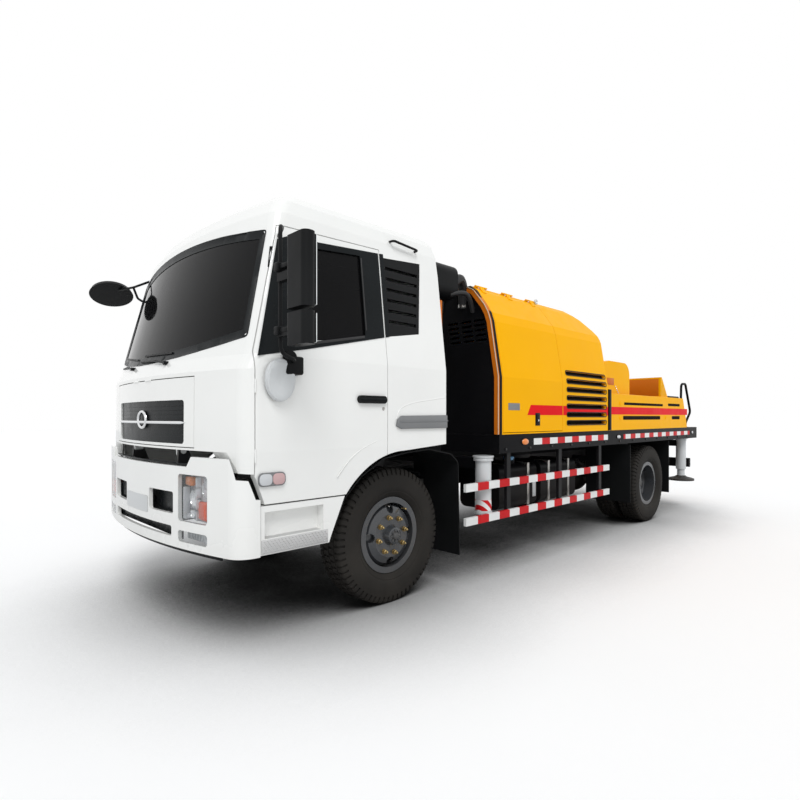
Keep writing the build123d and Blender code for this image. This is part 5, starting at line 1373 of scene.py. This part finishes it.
shell = block((0.394, -3.306, 1.276), (0.886, -2.794, 1.492), 0.006)
cushion = slab([(-0.608, 1.494), (-0.608, 1.632), (-0.092, 1.632), (-0.092, 1.494)])
cushion = channels(padding(cushion), (0.475, 0.560, 0.640, 0.720, 0.805), 0, (0, 0, 1))
back = slab([(-0.243, 1.634), (-0.086, 1.634), (0.074, 2.342), (-0.050, 2.353)])
back = channels(padding(back), (1.74, 1.84, 1.94, 2.04, 2.14), 2, (0, -1, 0.26))
for piece, name, material in ((shell, "seat_shell", interior_plastic), (cushion, "seat_cushion", seat_cloth),
                              (back, "seat_back", seat_cloth)):
    both_sides(piece, name, material, "cab")

RIM_MIDDLE, RIM_WAY = Vector((0.64, -3.625, 1.897)), Vector((0, 0.4472, 0.8944))
RIM_RADIUS, RIM_STEPS = 0.2175, 24
sideways = Vector((1, 0, 0))
turns = [2 * pi * number / RIM_STEPS for number in range(RIM_STEPS + 1)]
rim_line = [RIM_MIDDLE + (sideways * cos(turn) + sideways.cross(RIM_WAY) * sin(turn)) * RIM_RADIUS
            for turn in turns]
settle(pipe(rim_line, 0.0165), "steering_rim", rubber_hose, "cab")

# %% [markdown]
# ## Bolts, clamp and hoses
# Small fittings finish the bare places: bolts along the chassis rails and at the top of the mudflaps, a clamp
# round the concrete outlet with its two lugs, a lip below the bumper, hoses from the oil tank to the drive
# cylinders, a bright lifting plug on each hood door, domes on the rear jacks' feet, black rims of painted
# shade round the housing's slots with a black baffle of painted shade behind them, and a dark orange sheet
# of painted shade on the front face of the hopper's guard.

# %% Fittings
hex_bolt = turned([(-0.002, 0.0), (-0.002, 0.013), (0.004, 0.013), (0.004, 0.0095), (0.012, 0.0095), (0.013, 0.0)],
                  (0.457, -3.20, 0.80), "+X", 6)
rail_places = [(0, 0.31 * number, 0.33 * row) for number in range(22) for row in range(2)]
both_sides(repeated(hex_bolt, rail_places), "rail_bolts", bare_steel)

flap_bolt = turned([(-0.003, 0.0), (-0.003, 0.010), (0.003, 0.010), (0.003, 0.007), (0.009, 0.007), (0.010, 0.0)],
                   (0.70, 2.645, 1.035), "+Y", 6)
both_sides(repeated(flap_bolt, [(0.11 * number, 0, 0) for number in range(5)]), "flap_bolts", bare_steel)

clamp = turned([(-0.024, 0.118), (-0.024, 0.146), (-0.016, 0.156), (0.016, 0.156), (0.024, 0.146), (0.024, 0.118),
                (-0.024, 0.118)], (0, 4.105, 1.33), "+Y", 48)
lugs = [block((0.140, 4.087, foot), (0.178, 4.123, foot + 0.030), 0.004) for foot in (1.345, 1.285)]
clamp_bolt = turned([(0.0, 0.0), (0.0, 0.014), (0.010, 0.014), (0.010, 0.008), (0.120, 0.008), (0.120, 0.0)],
                    (0.162, 4.105, 1.265), "+Z", 6)
settle(joined([clamp, *lugs, clamp_bolt]), "outlet_clamp", cast_grey)
bumper_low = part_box("front_bumper")[0]
lip = bow_band(1.02, bumper_low.y + 0.035, bumper_low.z - 0.030, bumper_low.z + 0.030, 0.010, 0.003)
settle(lip, "bumper_lip", black_plastic)

oil_hose = pipe([(0.34, 1.47, 1.78), (0.34, 1.60, 1.78), (0.34, 1.72, 1.72), (0.26, 1.76, 1.60),
                 (0.20, 1.76, 1.50)], 0.020)
oil_collar = turned([(-0.01, 0.0), (-0.01, 0.034), (0.016, 0.034), (0.016, 0.027), (0.040, 0.027), (0.042, 0.0)],
                    (0.34, 1.478, 1.78), "+Y", 6)
both_sides(oil_hose, "oil_hose", rubber_hose)
both_sides(oil_collar, "oil_hose_collar", brass)

plug = turned([(-0.010, 0.0), (-0.010, 0.026), (0.004, 0.026), (0.008, 0.020), (0.008, 0.010), (0.003, 0.006),
               (0.003, 0.0)], (1.150, -0.808, 2.570), "+X", 32)
both_sides(plug, "lifting_plug", aluminium, "hood_door")
for side, body in ((1, "jack_rl"), (-1, "jack_rr")):
    dome = turned([(0.4235, 0.0), (0.4235, 0.1875), (0.452, 0.1875), (0.462, 0.160), (0.480, 0.090), (0.496, 0.066),
                   (0.502, 0.050), (0.502, 0.0)], (side * 1.080, 3.55, 0.0), "+Z", 48)
    settle(dome, "foot_dome_" + body, chassis_paint, body)

# Black rims round the housing's slots are painted shade, widening the dark of the slots.
body_skin = skin_of("housing_body")
slot_painted_shade_rims = []
for height in SLOT_HEIGHTS:
    ring = ring_sheet(side_points(rounded(2.3445, 3.2795, height - 0.028, height + 0.028, 0.026)), 0.010, 0.2)
    slot_painted_shade_rims.append(lay(ring, body_skin, "X", lift=0.0038, thick=0.002))
both_sides(joined(slot_painted_shade_rims), "slot_painted_shade_rims", black_plastic)
bpy.data.objects.remove(body_skin)
# A black baffle of painted shade behind the slots.
behind_slots = block((1.165, -0.390, 1.300), (1.175, 0.600, 1.925), 0.003, 1)
both_sides(behind_slots, "slot_painted_shade_baffle", painted_shade_black)

# A dark orange sheet of painted shade on the guard's forward face, where its yellow lies in shadow.
guard_skin = skin_of("hopper")
guard_face_painted_shade = sheet(front_points([(-0.90, 1.745), (0.90, 1.745), (0.90, 2.015), (-0.90, 2.015)]), 0.3)
guard_face_painted_shade = lay(guard_face_painted_shade, guard_skin, "Y", lift=0.0005, thick=0.002, edge=0.0006)
settle(guard_face_painted_shade, "guard_face_painted_shade", orange_paint_and_painted_shade)
bpy.data.objects.remove(guard_skin)
print("fittings in place")
